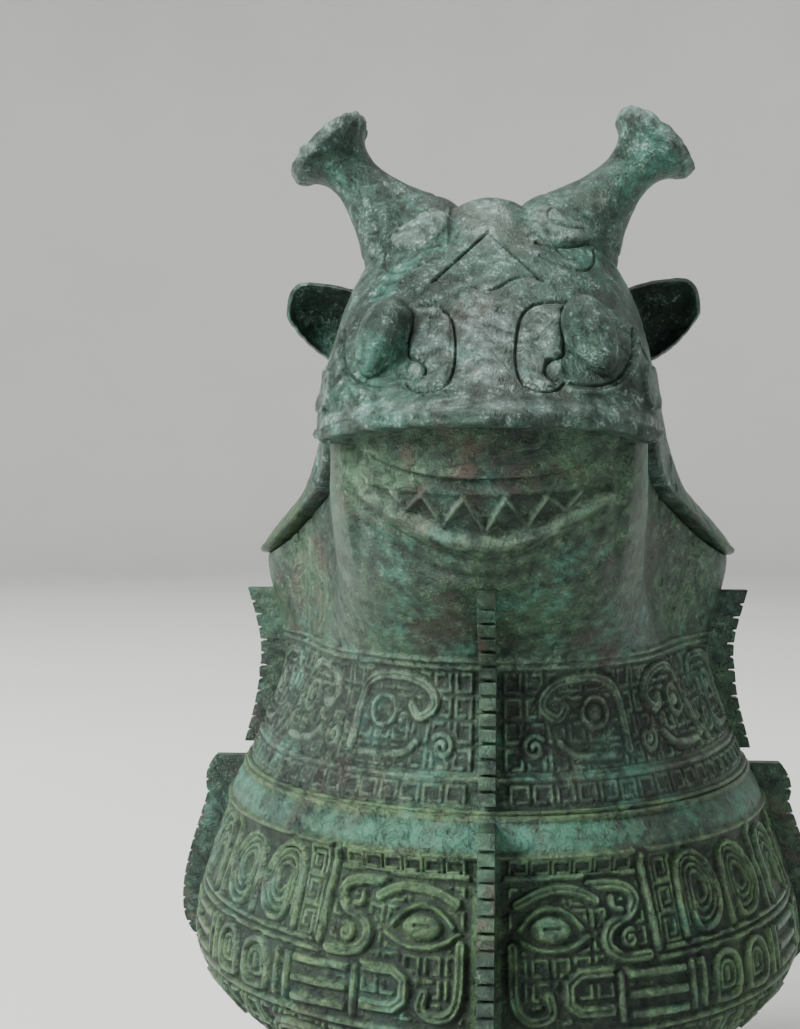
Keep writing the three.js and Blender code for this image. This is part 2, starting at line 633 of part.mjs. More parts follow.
// Horn: a turned bottle shape with a wide flat end, leaning outward and a little back
const tilt = THREE.MathUtils.degToRad(HORN_TILT);
const rake = THREE.MathUtils.degToRad(HORN_RAKE);
function hornPlace(side) {
  const y = LID_FRONT + HORN_SETBACK;
  const x = side * HORN_SPREAD;
  const lean = new THREE.Vector3(side * Math.sin(tilt), Math.sin(rake), Math.cos(tilt));
  return standing(new THREE.Vector3(x, y, lidHeight(x, y) - HORN_SINK), lean);
}
function hornShape(place) {
  const point = (radius, height) => new THREE.Vector2(radius, height);
  const lower = new THREE.QuadraticBezierCurve(point(HORN_BASE_RADIUS, 0),
    point(HORN_CONE_RADIUS, HORN_WAIST_HEIGHT / 2), point(HORN_WAIST_RADIUS, HORN_WAIST_HEIGHT));
  const upper = new THREE.QuadraticBezierCurve(point(HORN_WAIST_RADIUS, HORN_WAIST_HEIGHT),
    point(HORN_WAIST_RADIUS, HORN_LENGTH - 2 * HORN_END_EDGE),
    point(HORN_END_RADIUS, HORN_LENGTH - HORN_END_EDGE));
  const profile = [
    point(0, -HORN_BASE_RADIUS),
    point(HORN_BASE_RADIUS, -HORN_BASE_RADIUS),
    ...lower.getPoints(CURVE_STEPS),
    ...upper.getPoints(CURVE_STEPS).slice(1),
    point(HORN_END_RADIUS, HORN_LENGTH),
    point(HORN_END_RADIUS - HORN_END_EDGE, HORN_LENGTH),
    point(0, HORN_LENGTH - HORN_END_DISH),
  ];
  return solid(new THREE.LatheGeometry(profile, LATHE_STEPS).applyMatrix4(place));
}

// Ear: a cupped leaf that stands out from the side of the head
function earPlace(side) {
  const y = LID_FRONT + EAR_SETBACK;
  const z = CROWN_Z - EAR_CENTRE_DROP;
  let x = halfWidthAt(lidSection(0), y);
  while (lidHeight(x, y) < z && x > 0) x -= FIT_GAP;
  return new THREE.Matrix4().makeTranslation(side * x, y, z);
}
function earShape(side, place) {
  const leaf = new THREE.Shape();
  const root = -EAR_REACH / 2;
  const half = EAR_HEIGHT / 2;
  leaf.moveTo(side * root, -half);
  leaf.quadraticCurveTo(side * -root, -half, side * EAR_REACH, half / 4);
  leaf.quadraticCurveTo(side * EAR_REACH, half, side * EAR_TIP_REACH, half);
  leaf.quadraticCurveTo(0, half, side * root, half / 2);
  leaf.closePath();
  const settings = { depth: EAR_THICKNESS, bevelEnabled: false, curveSegments: CURVE_STEPS };
  const plate = new THREE.ExtrudeGeometry(leaf, settings);
  plate.rotateX(Math.PI / 2).translate(0, EAR_THICKNESS / 2, 0);
  const cup = new THREE.SphereGeometry(1, LATHE_STEPS, LATHE_STEPS / 2)
    .scale(EAR_CUP_HALF_WIDTH, EAR_CUP, EAR_CUP_HALF_HEIGHT)
    .translate(side * EAR_REACH / 2, -EAR_THICKNESS / 2, 0);
  return solid(plate.applyMatrix4(place)).subtract(solid(cup.applyMatrix4(place)));
}

// Eye: an egg-shaped boss on the face, its top leaning to the middle
function eyePlace(side) {
  const position = facePoint(side * EYE_SPREAD, LIP_Z + EYE_RISE);
  const forward = new THREE.Vector3(0, -EYE_FORWARD, 0);
  return standing(position, lidNormal(position.x, position.y).add(forward));
}
function eyeShape(side, place) {
  const egg = new THREE.SphereGeometry(1, LATHE_STEPS, LATHE_STEPS / 2)
    .scale(EYE_HALF_WIDTH, EYE_BULGE, EYE_HALF_HEIGHT).rotateY(side * THREE.MathUtils.degToRad(EYE_TILT));
  return solid(egg.applyMatrix4(place));
}
function rearEyePlace(side) {
  const x = side * REAR_EYE_SPREAD;
  const y = LID_BACK - REAR_EYE_SETBACK;
  return standing(new THREE.Vector3(x, y, lidHeight(x, y)), lidNormal(x, y));
}

// Point at a share of the length of a smooth line through points
function pointAlong(points, share) {
  const line = new THREE.CatmullRomCurve3(points);
  line.arcLengthDivisions = points.length;
  return line.getPointAt(THREE.MathUtils.clamp(share, 0, 1));
}

// Line with more points, so that no two of them are further apart than a step
function subdivided(line, step) {
  const points = [line[0]];
  for (let i = 0; i + 1 < line.length; i += 1) {
    const [from, to] = [line[i], line[i + 1]];
    const parts = Math.ceil(Math.hypot(to[0] - from[0], to[1] - from[1]) / step);
    for (let k = 1; k <= parts; k += 1) {
      points.push([0, 1].map((axis) => THREE.MathUtils.lerp(from[axis], to[axis], k / parts)));
    }
  }
  return points;
}

// Points inside the two bodies, from which outward is told
const lidInside = new THREE.Vector3(0, 0, RIM_Z);
const vesselInside = new THREE.Vector3(0, 0, NECK_Z);

// A place on a surface and its outward direction there
function onSurface(placeAt, [u, v], inside) {
  const point = placeAt(u, v);
  const along = placeAt(u + SLOPE_STEP, v).sub(placeAt(u - SLOPE_STEP, v));
  const up = placeAt(u, v + SLOPE_STEP).sub(placeAt(u, v - SLOPE_STEP));
  const normal = along.cross(up).normalize();
  if (normal.dot(point.clone().sub(inside)) < 0) normal.negate();
  return { point, normal };
}

// Three-sided bar along a line on a surface, with its flat side at one height and its edge at another
function surfaceBar(line, placeAt, inside, width, flat, edge) {
  const step = inside === lidInside ? ROOF_RELIEF_STEP : RELIEF_STEP;
  const places = subdivided(line, step).map((spot) => onSurface(placeAt, spot, inside));
  const last = places.length - 1;
  const rings = places.map(({ point, normal }, index) => {
    const before = places[Math.max(index - 1, 0)].point;
    const after = places[Math.min(index + 1, last)].point;
    const run = after.clone().sub(before).normalize();
    const aside = new THREE.Vector3().crossVectors(normal, run).normalize();
    const corner = (across, lift) => (
      point.clone().addScaledVector(aside, across).addScaledVector(normal, lift)
    );
    const ring = [corner(-width / 2, flat), corner(width / 2, flat), corner(0, edge)];
    return edge > flat ? ring : ring.reverse();
  });
  return solid(loft(rings));
}
const raisedLine = (line, placeAt, inside, width = RELIEF_WIDTH) => (
  surfaceBar(line, placeAt, inside, width, -RELIEF_SINK, RELIEF_HEIGHT)
);
const incisedLine = (line, placeAt, inside) => (
  surfaceBar(line, placeAt, inside, GROOVE_WIDTH, GROOVE_DEPTH, -GROOVE_DEPTH)
);
const bothSides = (bodies) => {
  const half = wasm.Manifold.union(bodies);
  return half.add(half.mirror([1, 0, 0]));
};
const moved = (line, across, up) => line.map(([u, v]) => [u + across, v + up]);

// Ornament of the lid
function roofPlace(y, fromRidge) {
  const rise = crestHeight(y) - rimHeight(y);
  const points = [];
  for (let s = 0; s <= 2 * ARCH_STEPS; s += 1) {
    const turn = Math.PI / 2 * (1 - s / (2 * ARCH_STEPS));
    const x = halfWidthAt(lidSection(0), y) * Math.cos(turn) ** roundnessAt(y);
    points.push(new THREE.Vector3(x, y, rimHeight(y) + rise * Math.sin(turn) ** roundnessAt(y)));
  }
  const length = points.slice(1).reduce((sum, point, index) => sum + point.distanceTo(points[index]), 0);
  return pointAlong(points, fromRidge / length);
}
function rearPlace(x, z) {
  let low = LID_BACK - REAR_MASK_SETBACK;
  let high = LID_BACK - FIT_GAP;
  while (high - low > WELD) {
    const middle = (low + high) / 2;
    if (lidHeight(x, middle) > z) low = middle;
    else high = middle;
  }
  return new THREE.Vector3(x, low, z);
}
const lobePoint = facePoint(HORN_LOBE.x, LIP_Z + HORN_LOBE.rise);
const lobe = new THREE.SphereGeometry(1, LATHE_STEPS, LATHE_STEPS / 2)
  .scale(HORN_LOBE.halfWidth, HORN_LOBE.proud, HORN_LOBE.halfHeight)
  .applyMatrix4(standing(lobePoint, lidNormal(lobePoint.x, lobePoint.y)));
const roofLines = [
  ROOF_LINE,
  ...ROOF_MIDDLES.flatMap((middle) => ROOF_STROKES.map((line) => moved(line, middle, 0))),
  ...ROOF_SCALES.map((start) => moved(ROOF_SCALE, start, 0)),
];
const lidRelief = bothSides([
  solid(lobe),
  ...roofLines.map((line) => raisedLine(line, roofPlace, lidInside)),
  ...REAR_MASK_STROKES.map((line) => raisedLine(moved(line, 0, RIM_Z), rearPlace, lidInside)),
]);
const faceLines = FACE_GROOVES.map((line) => moved(line, 0, LIP_Z));
const faceCuts = bothSides(faceLines.map((line) => incisedLine(line, facePoint, lidInside)));

const lidGroup = new THREE.Group();
lidGroup.name = 'lid';
const vesselGroup = new THREE.Group();
vesselGroup.name = 'vessel';

let lidWithPegs = lidShell.subtract(faceCuts);
let lidOrnament = lidRelief.subtract(lidHollow);
const enlarged = (place) => place.clone().scale(new THREE.Vector3().setScalar(CLEARANCE_SCALE));
for (const [label, side] of [['left', 1], ['right', -1]]) {
  const hornAt = hornPlace(side);
  const pegReach = HORN_SINK + SPIGOT_LENGTH;
  const hornPeg = spigot(hornAt, SPIGOT_RADIUS, pegReach);
  const hornSocket = spigot(hornAt, SPIGOT_RADIUS + FIT_GAP, pegReach + FIT_GAP);
  lidWithPegs = lidWithPegs.add(hornPeg.subtract(lidHollow));
  const horn = hornShape(hornAt).subtract(lidGrown).subtract(hornSocket);
  lidGroup.add(bronze(`horn_${label}`, horn, PATINA_LIGHT, hornAt));
  lidOrnament = lidOrnament.subtract(hornShape(enlarged(hornAt)));

  const earAt = earPlace(side);
  lidGroup.add(bronze(`ear_${label}`, earShape(side, earAt).subtract(lidGrown), PATINA, earAt));

  const eyeAt = eyePlace(side);
  lidGroup.add(bronze(`eye_${label}`, eyeShape(side, eyeAt).subtract(lidGrown), PATINA_LIGHT, eyeAt));

  const rearEyeAt = rearEyePlace(side);
  const ball = new THREE.SphereGeometry(REAR_EYE_RADIUS, LATHE_STEPS, LATHE_STEPS / 2);
  lidOrnament = lidOrnament.subtract(solid(ball.clone().applyMatrix4(enlarged(rearEyeAt))));
  const rearEye = solid(ball.applyMatrix4(rearEyeAt)).subtract(lidGrown);
  lidGroup.add(bronze(`rear_mask_eye_${label}`, rearEye, PATINA_LIGHT, rearEyeAt));
}
lidGroup.add(bronze('lid_shell', lidWithPegs.add(lidOrnament)));

// Outer edge of a flange along a wall, with square notches at an even pitch
function notchedEdge(start, end, edgeAt, proudAt) {
  const count = Math.max(2, Math.round(Math.abs(end - start) / FLANGE_NOTCH_PITCH));
  const outer = [];
  for (let n = 0; n < count; n += 1) {
    for (const [share, depth] of NOTCH_SHAPE) {
      if (depth === 1 && n === count - 1) continue;
      const place = THREE.MathUtils.lerp(start, end, (n + share) / count);
      outer.push([place, edgeAt(place) + proudAt(place) - depth * FLANGE_NOTCH_DEPTH]);
    }
  }
  outer.push([end, edgeAt(end) + proudAt(end)]);
  return outer;
}

// Flange that stands on a wall, drawn at the back and turned to its side of the vessel
function wallFlange(name, reachAt, bottom, top, proudAt, turn, wall) {
  const outer = notchedEdge(bottom, top, reachAt, proudAt).map(([z, reach]) => new THREE.Vector2(reach, z));
  const inner = [top, (top + bottom) / 2, bottom].map((z) => new THREE.Vector2(reachAt(z) - FLANGE_ROOT, z));
  const place = new THREE.Matrix4().makeRotationZ(turn);
  const plate = sidePlate([...outer, ...inner], FLANGE_THICKNESS).transform(place.elements);
  return bronze(name, plate.subtract(wall), PATINA_DARK, place);
}

const footGrown = footLoft(SLOPE_GAP, -CUT_MARGIN, FOOT_HEIGHT);
const footShare = (z) => Math.max(1 - z / FOOT_HEIGHT, 0) ** 2;
const neckBottom = SHOULDER_Z + BAND_HALF_HEIGHT + FLANGE_END_GAP;
const neckTop = RIM_Z - NECK_FLANGE_TOP_DROP;
const bellyBottom = FOOT_HEIGHT + FLANGE_END_GAP + FLANGE_ROOT;
const bellyTop = SHOULDER_Z + BAND_HALF_HEIGHT - FLANGE_BAND_DROP;
const throatTop = RIM_Z - FLANGE_END_GAP;
const sides = [
  { label: 'left', turn: -Math.PI / 2, field: 'halfWidth' },
  { label: 'right', turn: Math.PI / 2, field: 'halfWidth' },
  { label: 'front', turn: Math.PI, field: 'front' },
  { label: 'rear', turn: 0, field: 'back' },
];
for (const { label, turn, field } of sides) {
  const vesselReach = (z) => vesselSection(z, 0)[field];
  const footReach = (z) => footSection(footShare(z), 0)[field];
  const flaring = (z) => FLANGE_PROUD + FLANGE_TOP_FLARE * Math.max(0, (z - BELLY_Z) / SHOULDER_RISE);
  const top = label === 'front' ? throatTop : neckTop;
  const narrowing = (z) => {
    const fromBottom = THREE.MathUtils.clamp((z - neckBottom) / NECK_FLANGE_TAPER, 0, 1);
    return THREE.MathUtils.lerp(FLANGE_PROUD / 2, FLANGE_PROUD, fromBottom);
  };
  const low = () => FLANGE_PROUD / 2;
  const footEnd = footTop - FLANGE_END_GAP;
  const onFoot = wallFlange(`foot_flange_${label}`, footReach, FLANGE_END_GAP, footEnd, low, turn, footGrown);
  vesselGroup.add(onFoot);
  if (label === 'rear') continue;
  const onVessel = (part, from, to, proudAt) => {
    vesselGroup.add(wallFlange(`${part}_${label}`, vesselReach, from, to, proudAt, turn, vesselGrown));
  };
  onVessel('belly_flange', bellyBottom, bellyTop, flaring);
  onVessel('neck_flange', neckBottom, top, narrowing);
}

// Flange along the ridge of the lid, from the nape to the rear mask
const spineStart = NAPE_Y - NAPE_LENGTH / 3;
const spineEnd = LID_BACK - REAR_MASK_SETBACK;
const spineOuter = notchedEdge(spineStart, spineEnd, crestHeight, () => SPINE_PROUD);
const spineInner = [spineEnd, 0, spineStart].map((y) => new THREE.Vector2(y, crestHeight(y) - FLANGE_ROOT));
const spineOutline = [...spineOuter.map(([y, z]) => new THREE.Vector2(y, z)), ...spineInner];
const spine = sidePlate(spineOutline, FLANGE_THICKNESS).subtract(lidGrown);
lidGroup.add(bronze('lid_spine_flange', spine, PATINA_DARK));

// Handle: a beast's head on the neck, a loop from its mouth down to the belly, and a tail tab
const HANDLE_TOP_Z = RIM_Z - HANDLE_TOP_DROP;
const headStart = HANDLE_HEAD_REACH - HANDLE_HEAD_LENGTH;
function handleHeadLoft(grow) {
  const last = HANDLE_HEAD_STATIONS.length - 1;
  const rings = HANDLE_HEAD_STATIONS.map(({ share, width, height, drop }, index) => {
    const ring = [];
    const ends = index === last ? grow : 0;
    for (let s = 0; s < LATHE_STEPS; s += 1) {
      const turn = 2 * Math.PI * s / LATHE_STEPS;
      const square = (value) => Math.sign(value) * Math.abs(value) ** HEAD_ROUNDNESS;
      const x = -square(Math.cos(turn)) * (HANDLE_HEAD_HALF_WIDTH * width + grow);
      const z = square(Math.sin(turn)) * (HANDLE_HEAD_HALF_HEIGHT * height + grow);
      const y = headStart + HANDLE_HEAD_LENGTH * share + ends;
      ring.push(new THREE.Vector3(x, y, HANDLE_TOP_Z - HANDLE_HEAD_HALF_HEIGHT * drop + z));
    }
    return ring;
  });
  return solid(loft(rings));
}

// The loop's middle line in the side view
const loopOut = HANDLE_REACH - HANDLE_THICKNESS / 2;
const loopMiddleZ = (HANDLE_TOP_Z + HANDLE_FOOT_HEIGHT) / 2;
const loopPath = new THREE.CatmullRomCurve3([
  new THREE.Vector3(0, HANDLE_HEAD_REACH - HANDLE_THICKNESS, HANDLE_TOP_Z - HANDLE_HEAD_HALF_HEIGHT / 2),
  new THREE.Vector3(0, HANDLE_HEAD_REACH + HANDLE_THICKNESS, HANDLE_TOP_Z - HANDLE_HEAD_HALF_HEIGHT / 2),
  new THREE.Vector3(0, loopOut - HANDLE_THICKNESS / 2, HANDLE_TOP_Z - 2 * HANDLE_HEAD_HALF_HEIGHT),
  new THREE.Vector3(0, loopOut, loopMiddleZ),
  new THREE.Vector3(0, loopOut - HANDLE_THICKNESS, HANDLE_FOOT_HEIGHT + 2 * HANDLE_THICKNESS),
  new THREE.Vector3(0, HANDLE_HEAD_REACH, HANDLE_FOOT_HEIGHT),
  new THREE.Vector3(0, BELLY_BACK - FLANGE_ROOT, HANDLE_FOOT_HEIGHT),
], false, 'centripetal');

// Bar of a given cross section along the loop, moved toward the inner or the outer face
function loopBar(width, thickness, shift, rounding, from, to) {
  const points = [];
  for (let k = 0; k <= LATHE_STEPS; k += 1) {
    points.push(loopPath.getPoint(THREE.MathUtils.lerp(from, to, k / LATHE_STEPS)));
  }
  const path = new THREE.CatmullRomCurve3(points);
  const section = new THREE.Shape();
  const steps = rounding ? 3 * SQUARE_CORNERS : SQUARE_CORNERS;
  for (let s = 0; s < steps; s += 1) {
    const turn = 2 * Math.PI * (s + 0.5) / steps;
    const stretch = rounding ? 1 : Math.SQRT2;
    const x = stretch * width / 2 * Math.cos(turn);
    const y = shift + stretch * thickness / 2 * Math.sin(turn);
    if (s === 0) section.moveTo(x, y);
    else section.lineTo(x, y);
  }
  const settings = { steps: LATHE_STEPS, extrudePath: path, bevelEnabled: false };
  return solid(new THREE.ExtrudeGeometry(section, settings));
}

const handleHead = handleHeadLoft(0);
const headPegAt = standing(new THREE.Vector3(0, NECK_BACK, HANDLE_TOP_Z), new THREE.Vector3(0, 1, 0));
const footPegAt = standing(new THREE.Vector3(0, BELLY_BACK, HANDLE_FOOT_HEIGHT), new THREE.Vector3(0, 1, 0));
const headPegReach = 2 * SPIGOT_LENGTH;
const pegs = spigot(headPegAt, SPIGOT_RADIUS, headPegReach)
  .add(spigot(footPegAt, SPIGOT_RADIUS, SPIGOT_LENGTH));
const sockets = spigot(headPegAt, SPIGOT_RADIUS + FIT_GAP, headPegReach + FIT_GAP)
  .add(spigot(footPegAt, SPIGOT_RADIUS + FIT_GAP, SPIGOT_LENGTH + FIT_GAP));
const coreShift = (HANDLE_THICKNESS - HANDLE_CORE_DEPTH) / 2 + FIT_GAP;
const coreEndShare = HANDLE_CORE_END_GAP / loopPath.getLength();
const loopSolid = loopBar(HANDLE_WIDTH, HANDLE_THICKNESS, 0, true, 0, 1);
const loopGrown = loopBar(HANDLE_WIDTH + 2 * FIT_GAP, HANDLE_THICKNESS + 2 * FIT_GAP, 0, true, 0, 1);
const channel = loopBar(HANDLE_CORE_WIDTH + 2 * FIT_GAP, HANDLE_CORE_DEPTH + 2 * FIT_GAP, -coreShift, false,
  CORE_START - coreEndShare, CORE_END + coreEndShare);
const core = loopBar(HANDLE_CORE_WIDTH, HANDLE_CORE_DEPTH, -coreShift, false, CORE_START, CORE_END)
  .intersect(loopSolid);

// Tail tab: a hooked plate under the loop's lower end
const tabMiddle = HANDLE_HEAD_REACH - HANDLE_TAB_LENGTH / 4;
const tabOutline = HANDLE_TAB_OUTLINE.map(([along, down]) => (
  new THREE.Vector2(tabMiddle + HANDLE_TAB_LENGTH * along, HANDLE_FOOT_HEIGHT - HANDLE_TAB_DROP * down)
));
const tab = sidePlate(tabOutline, HANDLE_TAB_THICKNESS);

// Ears of the handle's beast: short rounded cones that lean outward
const handleHeadGrown = handleHeadLoft(SLOPE_GAP);
for (const [label, side] of [['left', 1], ['right', -1]]) {
  const root = new THREE.Vector3(side * HANDLE_EAR_SPREAD, headStart + HANDLE_EAR_SETBACK,
    HANDLE_TOP_Z + HANDLE_EAR_RISE);
  const at = standing(root, new THREE.Vector3(side, HANDLE_EAR_BACKWARD, HANDLE_EAR_UPWARD));
  const egg = new THREE.SphereGeometry(1, LATHE_STEPS, LATHE_STEPS / 2)
    .scale(HANDLE_EAR_RADIUS, HANDLE_EAR_LENGTH, HANDLE_EAR_RADIUS);
  const ear = solid(egg.applyMatrix4(at)).subtract(handleHeadGrown).subtract(vesselGrown);
  vesselGroup.add(bronze(`handle_ear_${label}`, ear, PATINA_LIGHT, at));
}

// Ornament of the vessel: the same lines on each quarter, ended where the handle stands
function wallPlace(share, z, toBack) {
  const section = vesselSection(z, 0);
  const end = toBack ? section.back : -section.front;
  const points = [];
  for (let k = 0; k <= 2 * OUTLINE_STEPS; k += 1) {
    const y = end * Math.cos(Math.PI / 2 * k / (2 * OUTLINE_STEPS));
    points.push(new THREE.Vector3(halfWidthAt(section, y), y, z));
  }
  return pointAlong(points, share);
}
function jawPlace(x, z) {
  const section = vesselSection(z, 0);
  let low = -section.front;
  let high = -section.front + section.tip;
  while (high - low > WELD) {
    const middle = (low + high) / 2;
    if (halfWidthAt(section, middle) < Math.abs(x)) low = middle;
    else high = middle;
  }
  return new THREE.Vector3(x, low, z);
}
const neckLines = NECK_MIDDLES.flatMap((middle) => (
  NECK_STROKES.map((line) => moved(line, middle, NECK_REGISTER))
));
const bellyLines = [
  ...UPPER_STROKES.map((line) => moved(line, 0, UPPER_REGISTER)),
  ...MIDDLE_STROKES.map((line) => moved(line, 0, MIDDLE_REGISTER)),
  ...LOWER_STROKES.map((line) => moved(line, 0, LOWER_REGISTER)),
];
const vesselLines = [false, true].flatMap((toBack) => {
  const onBelly = (across, along) => wallPlace(across / BELLY_QUARTER, bellyHeight(along), toBack);
  const onNeck = (across, up) => wallPlace(across / NECK_QUARTER, bandTop + up, toBack);
  return [
    ...bellyLines.map((line) => raisedLine(line, onBelly, vesselInside)),
    raisedLine(moved(UPPER_BOSS, 0, UPPER_REGISTER), onBelly, vesselInside, BOSS_WIDTH),
    ...neckLines.map((line) => raisedLine(line, onNeck, vesselInside)),
  ];
});
const jawBottom = MOUTH_Z - JAW_DROP;
vesselLines.push(raisedLine(moved(JAW_LIP, 0, jawBottom), jawPlace, vesselInside));
vesselLines.push(raisedLine(moved(JAW_TEETH, 0, jawBottom), jawPlace, vesselInside, TOOTH_WIDTH));
const vesselOrnament = bothSides(vesselLines).subtract(vesselHollow).subtract(aboveRim(0))
  .subtract(handleHeadGrown).subtract(loopGrown);
const bowl = vesselShell.add(pegs.subtract(vesselHollow)).add(vesselOrnament);
vesselGroup.add(bronze('vessel_bowl', bowl));
vesselGroup.add(bronze('foot_ring', footShell, PATINA_DARK));
const headOnNeck = handleHead.subtract(vesselGrown).subtract(sockets).subtract(loopGrown);
const loopOnBelly = loopSolid.subtract(vesselGrown).subtract(sockets).subtract(channel);
vesselGroup.add(bronze('handle_head', headOnNeck));
vesselGroup.add(bronze('handle_loop', loopOnBelly));
vesselGroup.add(piece('handle_core', core, CLAY, CLAY_ROUGHNESS, 0));
vesselGroup.add(bronze('handle_tail', tab.subtract(loopGrown).subtract(vesselGrown), PATINA_DARK));

const guang = new THREE.Group();
guang.name = 'bronze_guang_vessel';
guang.add(vesselGroup, lidGroup);

// The whole stands on the origin with its length centred on it
const extent = new THREE.Box3().setFromObject(guang);
guang.position.y = -(extent.min.y + extent.max.y) / 2;

export default guang;
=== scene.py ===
import math

import bpy
import numpy as np
from bpy.props import FloatProperty, FloatVectorProperty, PointerProperty
from mathutils import Matrix, Vector


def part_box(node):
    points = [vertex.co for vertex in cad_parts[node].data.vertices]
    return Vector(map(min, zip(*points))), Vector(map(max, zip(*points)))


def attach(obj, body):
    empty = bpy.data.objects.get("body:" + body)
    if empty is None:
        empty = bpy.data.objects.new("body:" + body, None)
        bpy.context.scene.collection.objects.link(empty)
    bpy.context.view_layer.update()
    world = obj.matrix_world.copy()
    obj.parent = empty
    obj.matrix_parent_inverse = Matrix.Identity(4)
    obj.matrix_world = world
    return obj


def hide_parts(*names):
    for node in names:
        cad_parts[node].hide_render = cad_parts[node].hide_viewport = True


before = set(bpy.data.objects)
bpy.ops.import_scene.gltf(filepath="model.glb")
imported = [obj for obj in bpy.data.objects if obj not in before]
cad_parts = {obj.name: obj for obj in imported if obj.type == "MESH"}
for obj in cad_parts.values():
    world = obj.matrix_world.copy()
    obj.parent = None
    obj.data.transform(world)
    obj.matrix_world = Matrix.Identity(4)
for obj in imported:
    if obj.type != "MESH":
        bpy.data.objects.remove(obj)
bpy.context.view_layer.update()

bl_info = {
    "name": "Bronze guang vessel",
    "version": (1, 0, 0),
    "blender": (4, 5, 0),
    "location": "View3D > Sidebar > Guang",
    "description": "Carved and patinated surfaces of a beast-headed bronze pouring vessel",
    "category": "Mesh",
}

# Sizes of the casting in millimetres. The main ones are those of the solids. Heights are from the floor,
# and widths and reaches are from the widest line of the vessel. The beast looks along -Y.
MM = 0.001
FOOT_TOP = 30
BELLY_Z = 62
SHOULDER_Z = 95
NECK_Z = 125
RIM_Z = 148
MOUTH_Z = 165
LEDGE_Z = 175
LIP_Z = 178
CROWN_Z = 223
WALL_END_Z = 264
MOUTH_FRONT = 93
MOUTH_CORNER_Y = -80
LID_FRONT = -98
LID_BACK = 72
CROWN_Y = -54
HEAD_BACK = -42
HEAD_SEAM_Y = -30
NAPE_Y = -16
VESSEL_WALL = 3.2
VESSEL_FLOOR = 4
LID_WALL = 3
LID_EDGE_GAP = 0.3
LID_LEAST_RISE = 1.5
LID_BEAD = 2
SEAT_THICKNESS = 3
TONGUE_INSET = 3.5
TONGUE_WALL = 2
TONGUE_DEPTH = 6
PANEL_PROUD = 1
LIP_ARCH = 2.8
LIP_ROLL = 2.8
LIP_FLARE = 6.5
LIP_SWELL = 0.5
LIP_THICKNESS = 2.4
CHEEK_STEP = 1.1
CHEEK_EDGE = 1.6
BAND_HALF_HEIGHT = 5
BAND_PROUD = 1.6
BAND_TOP = 101.3
SPOUT_FLARE = 6
HEAD_ROUNDNESS = 0.85
ROOF_ROUNDNESS = 1.45
WALL_HEIGHTS = (FOOT_TOP, BELLY_Z, SHOULDER_Z, NECK_Z, RIM_Z, MOUTH_Z, WALL_END_Z)
WALL = {
    "half_width": (47, 70, 60.5, 50.5, 55, 55, 55),
    "front": (56, 81, 71, 63, 84, MOUTH_FRONT, MOUTH_FRONT),
    "back": (56, 81, 72, 65, 70, 70, 70),
    "spout": (47, 70, 60.5, 40, 31, 31, 31),
    "tip": (56, 81, 71, 46, 30, 26, 26),
}
LID_EDGE = {"half_width": 57, "front": -LID_FRONT, "back": LID_BACK, "spout": 33, "tip": 26}
RIM_LINE = ((LID_FRONT, MOUTH_Z), (-80, 173), (-66, 174), (-30, 161), (0, RIM_Z), (35, RIM_Z),
            (LID_BACK, 152))
CREST_LINE = ((LID_FRONT, LIP_Z), (-93, 183), (-68.7, 211.7), (CROWN_Y, CROWN_Z), (HEAD_BACK, 222),
              (NAPE_Y, 193), (0, 184), (48, 190), (61, 184), (LID_BACK, 155))
FOOT_HALF_WIDTH = 47
FOOT_REACH = 56
FOOT_SPLAY = 4.5
FOOT_INSET = 1.5
FOOT_WALL = 4
FOOT_GAP = 0.3

# The lid's edge: the lip over the mouth and the bead behind it, rolled round in steps outward and downward
LIP_LIFT = 0.4
LIP_ROLL_END = MOUTH_CORNER_Y - 5
LIP_ROLL_FADE = 11
LIP_SWELL_REACH = 2.2
LIP_SWELL_FULL = 1.6
CORNER_BLEND = 3
LIP_TURN = ((0.4, 0.4), (0.6, 1.1), (0.4, 1.9), (-0.3, 2.3), (-1.6, 2.4), (-4, 2.4), (-8.5, 2.4))
SEAT_TURN = ((0.5, 0.3), (0.8, 0.9), (0.6, 1.5), (-0.1, 1.9), (-1.6, 2), (-3.5, 2), (-6.3, 2))
LINING_FRONT = LID_FRONT + 11
LINING_BACK = LID_BACK - 6
REAR_MASK_Y = 46

# The mouth under the lip: the cheeks' edges beside it, its panel, and the lines of the lower jaw in the
# front view, each with its height at the middle, its rise to the corners and the power of its curve
CHEEK_HEIGHTS = (144, 174)
CHEEK_HALF_WIDTHS = (25, 27.2)
CHEEK_LOW = 143
CHEEK_FADE = 16
MOUTH_END_Y = -60
PANEL_LOW = MOUTH_Z - 6
PANEL_HIGH = LEDGE_Z + 0.6
PANEL_LEAST = 0.1
JAW_CORNER = 22.4
JAW_LIP = (153.8, 9.6, 1.8)
JAW_UPPER = (163.4, 2.2, 2)
JAW_UNDER = (147.6, 9.2, 2)
TOOTH_MARKS = (3.8, 7.6, 11.5, 14.6, 17.4)

# Horns, ears and eyes of the beast, and eyes of the rear mask. The horn's profile gives radii along its
# axis, and its gnawed rim has lumps, each with a size, an offset in the noise and a rise.
HORN_SINK = 3
HORN_TILT = math.radians(41)
HORN_RAKE = math.radians(6)
HORN_SPREAD = 16.5
HORN_Y = LID_FRONT + 48
HORN_PROFILE = ((-7, 12.6), (-3, 12.3), (0, 12), (2.6, 10.7), (3.1, 10), (3.7, 10), (4.2, 9.9), (6.8, 8.4),
                (10.2, 6.9), (13.6, 5.8), (17, 5.1), (20, 5.3), (22.4, 6.2), (24.2, 7.8), (25, 9.3),
                (25.6, 9.8), (27.5, 9.8), (28, 9.4), (28, 7.6), (27.4, 6.4), (27.1, 3))
HORN_RIM = 24.6
HORN_GNAWED = ((2.6, 7.7, 0.35), (1.2, 4.1, 0.45))
HORN_GNAWED_LOW = HORN_RIM - 3
HORN_GNAWED_FADE = 4
HORN_RUB_AND_HIGHLIGHT_FADE = 1.5
EAR_Y = LID_FRONT + 62
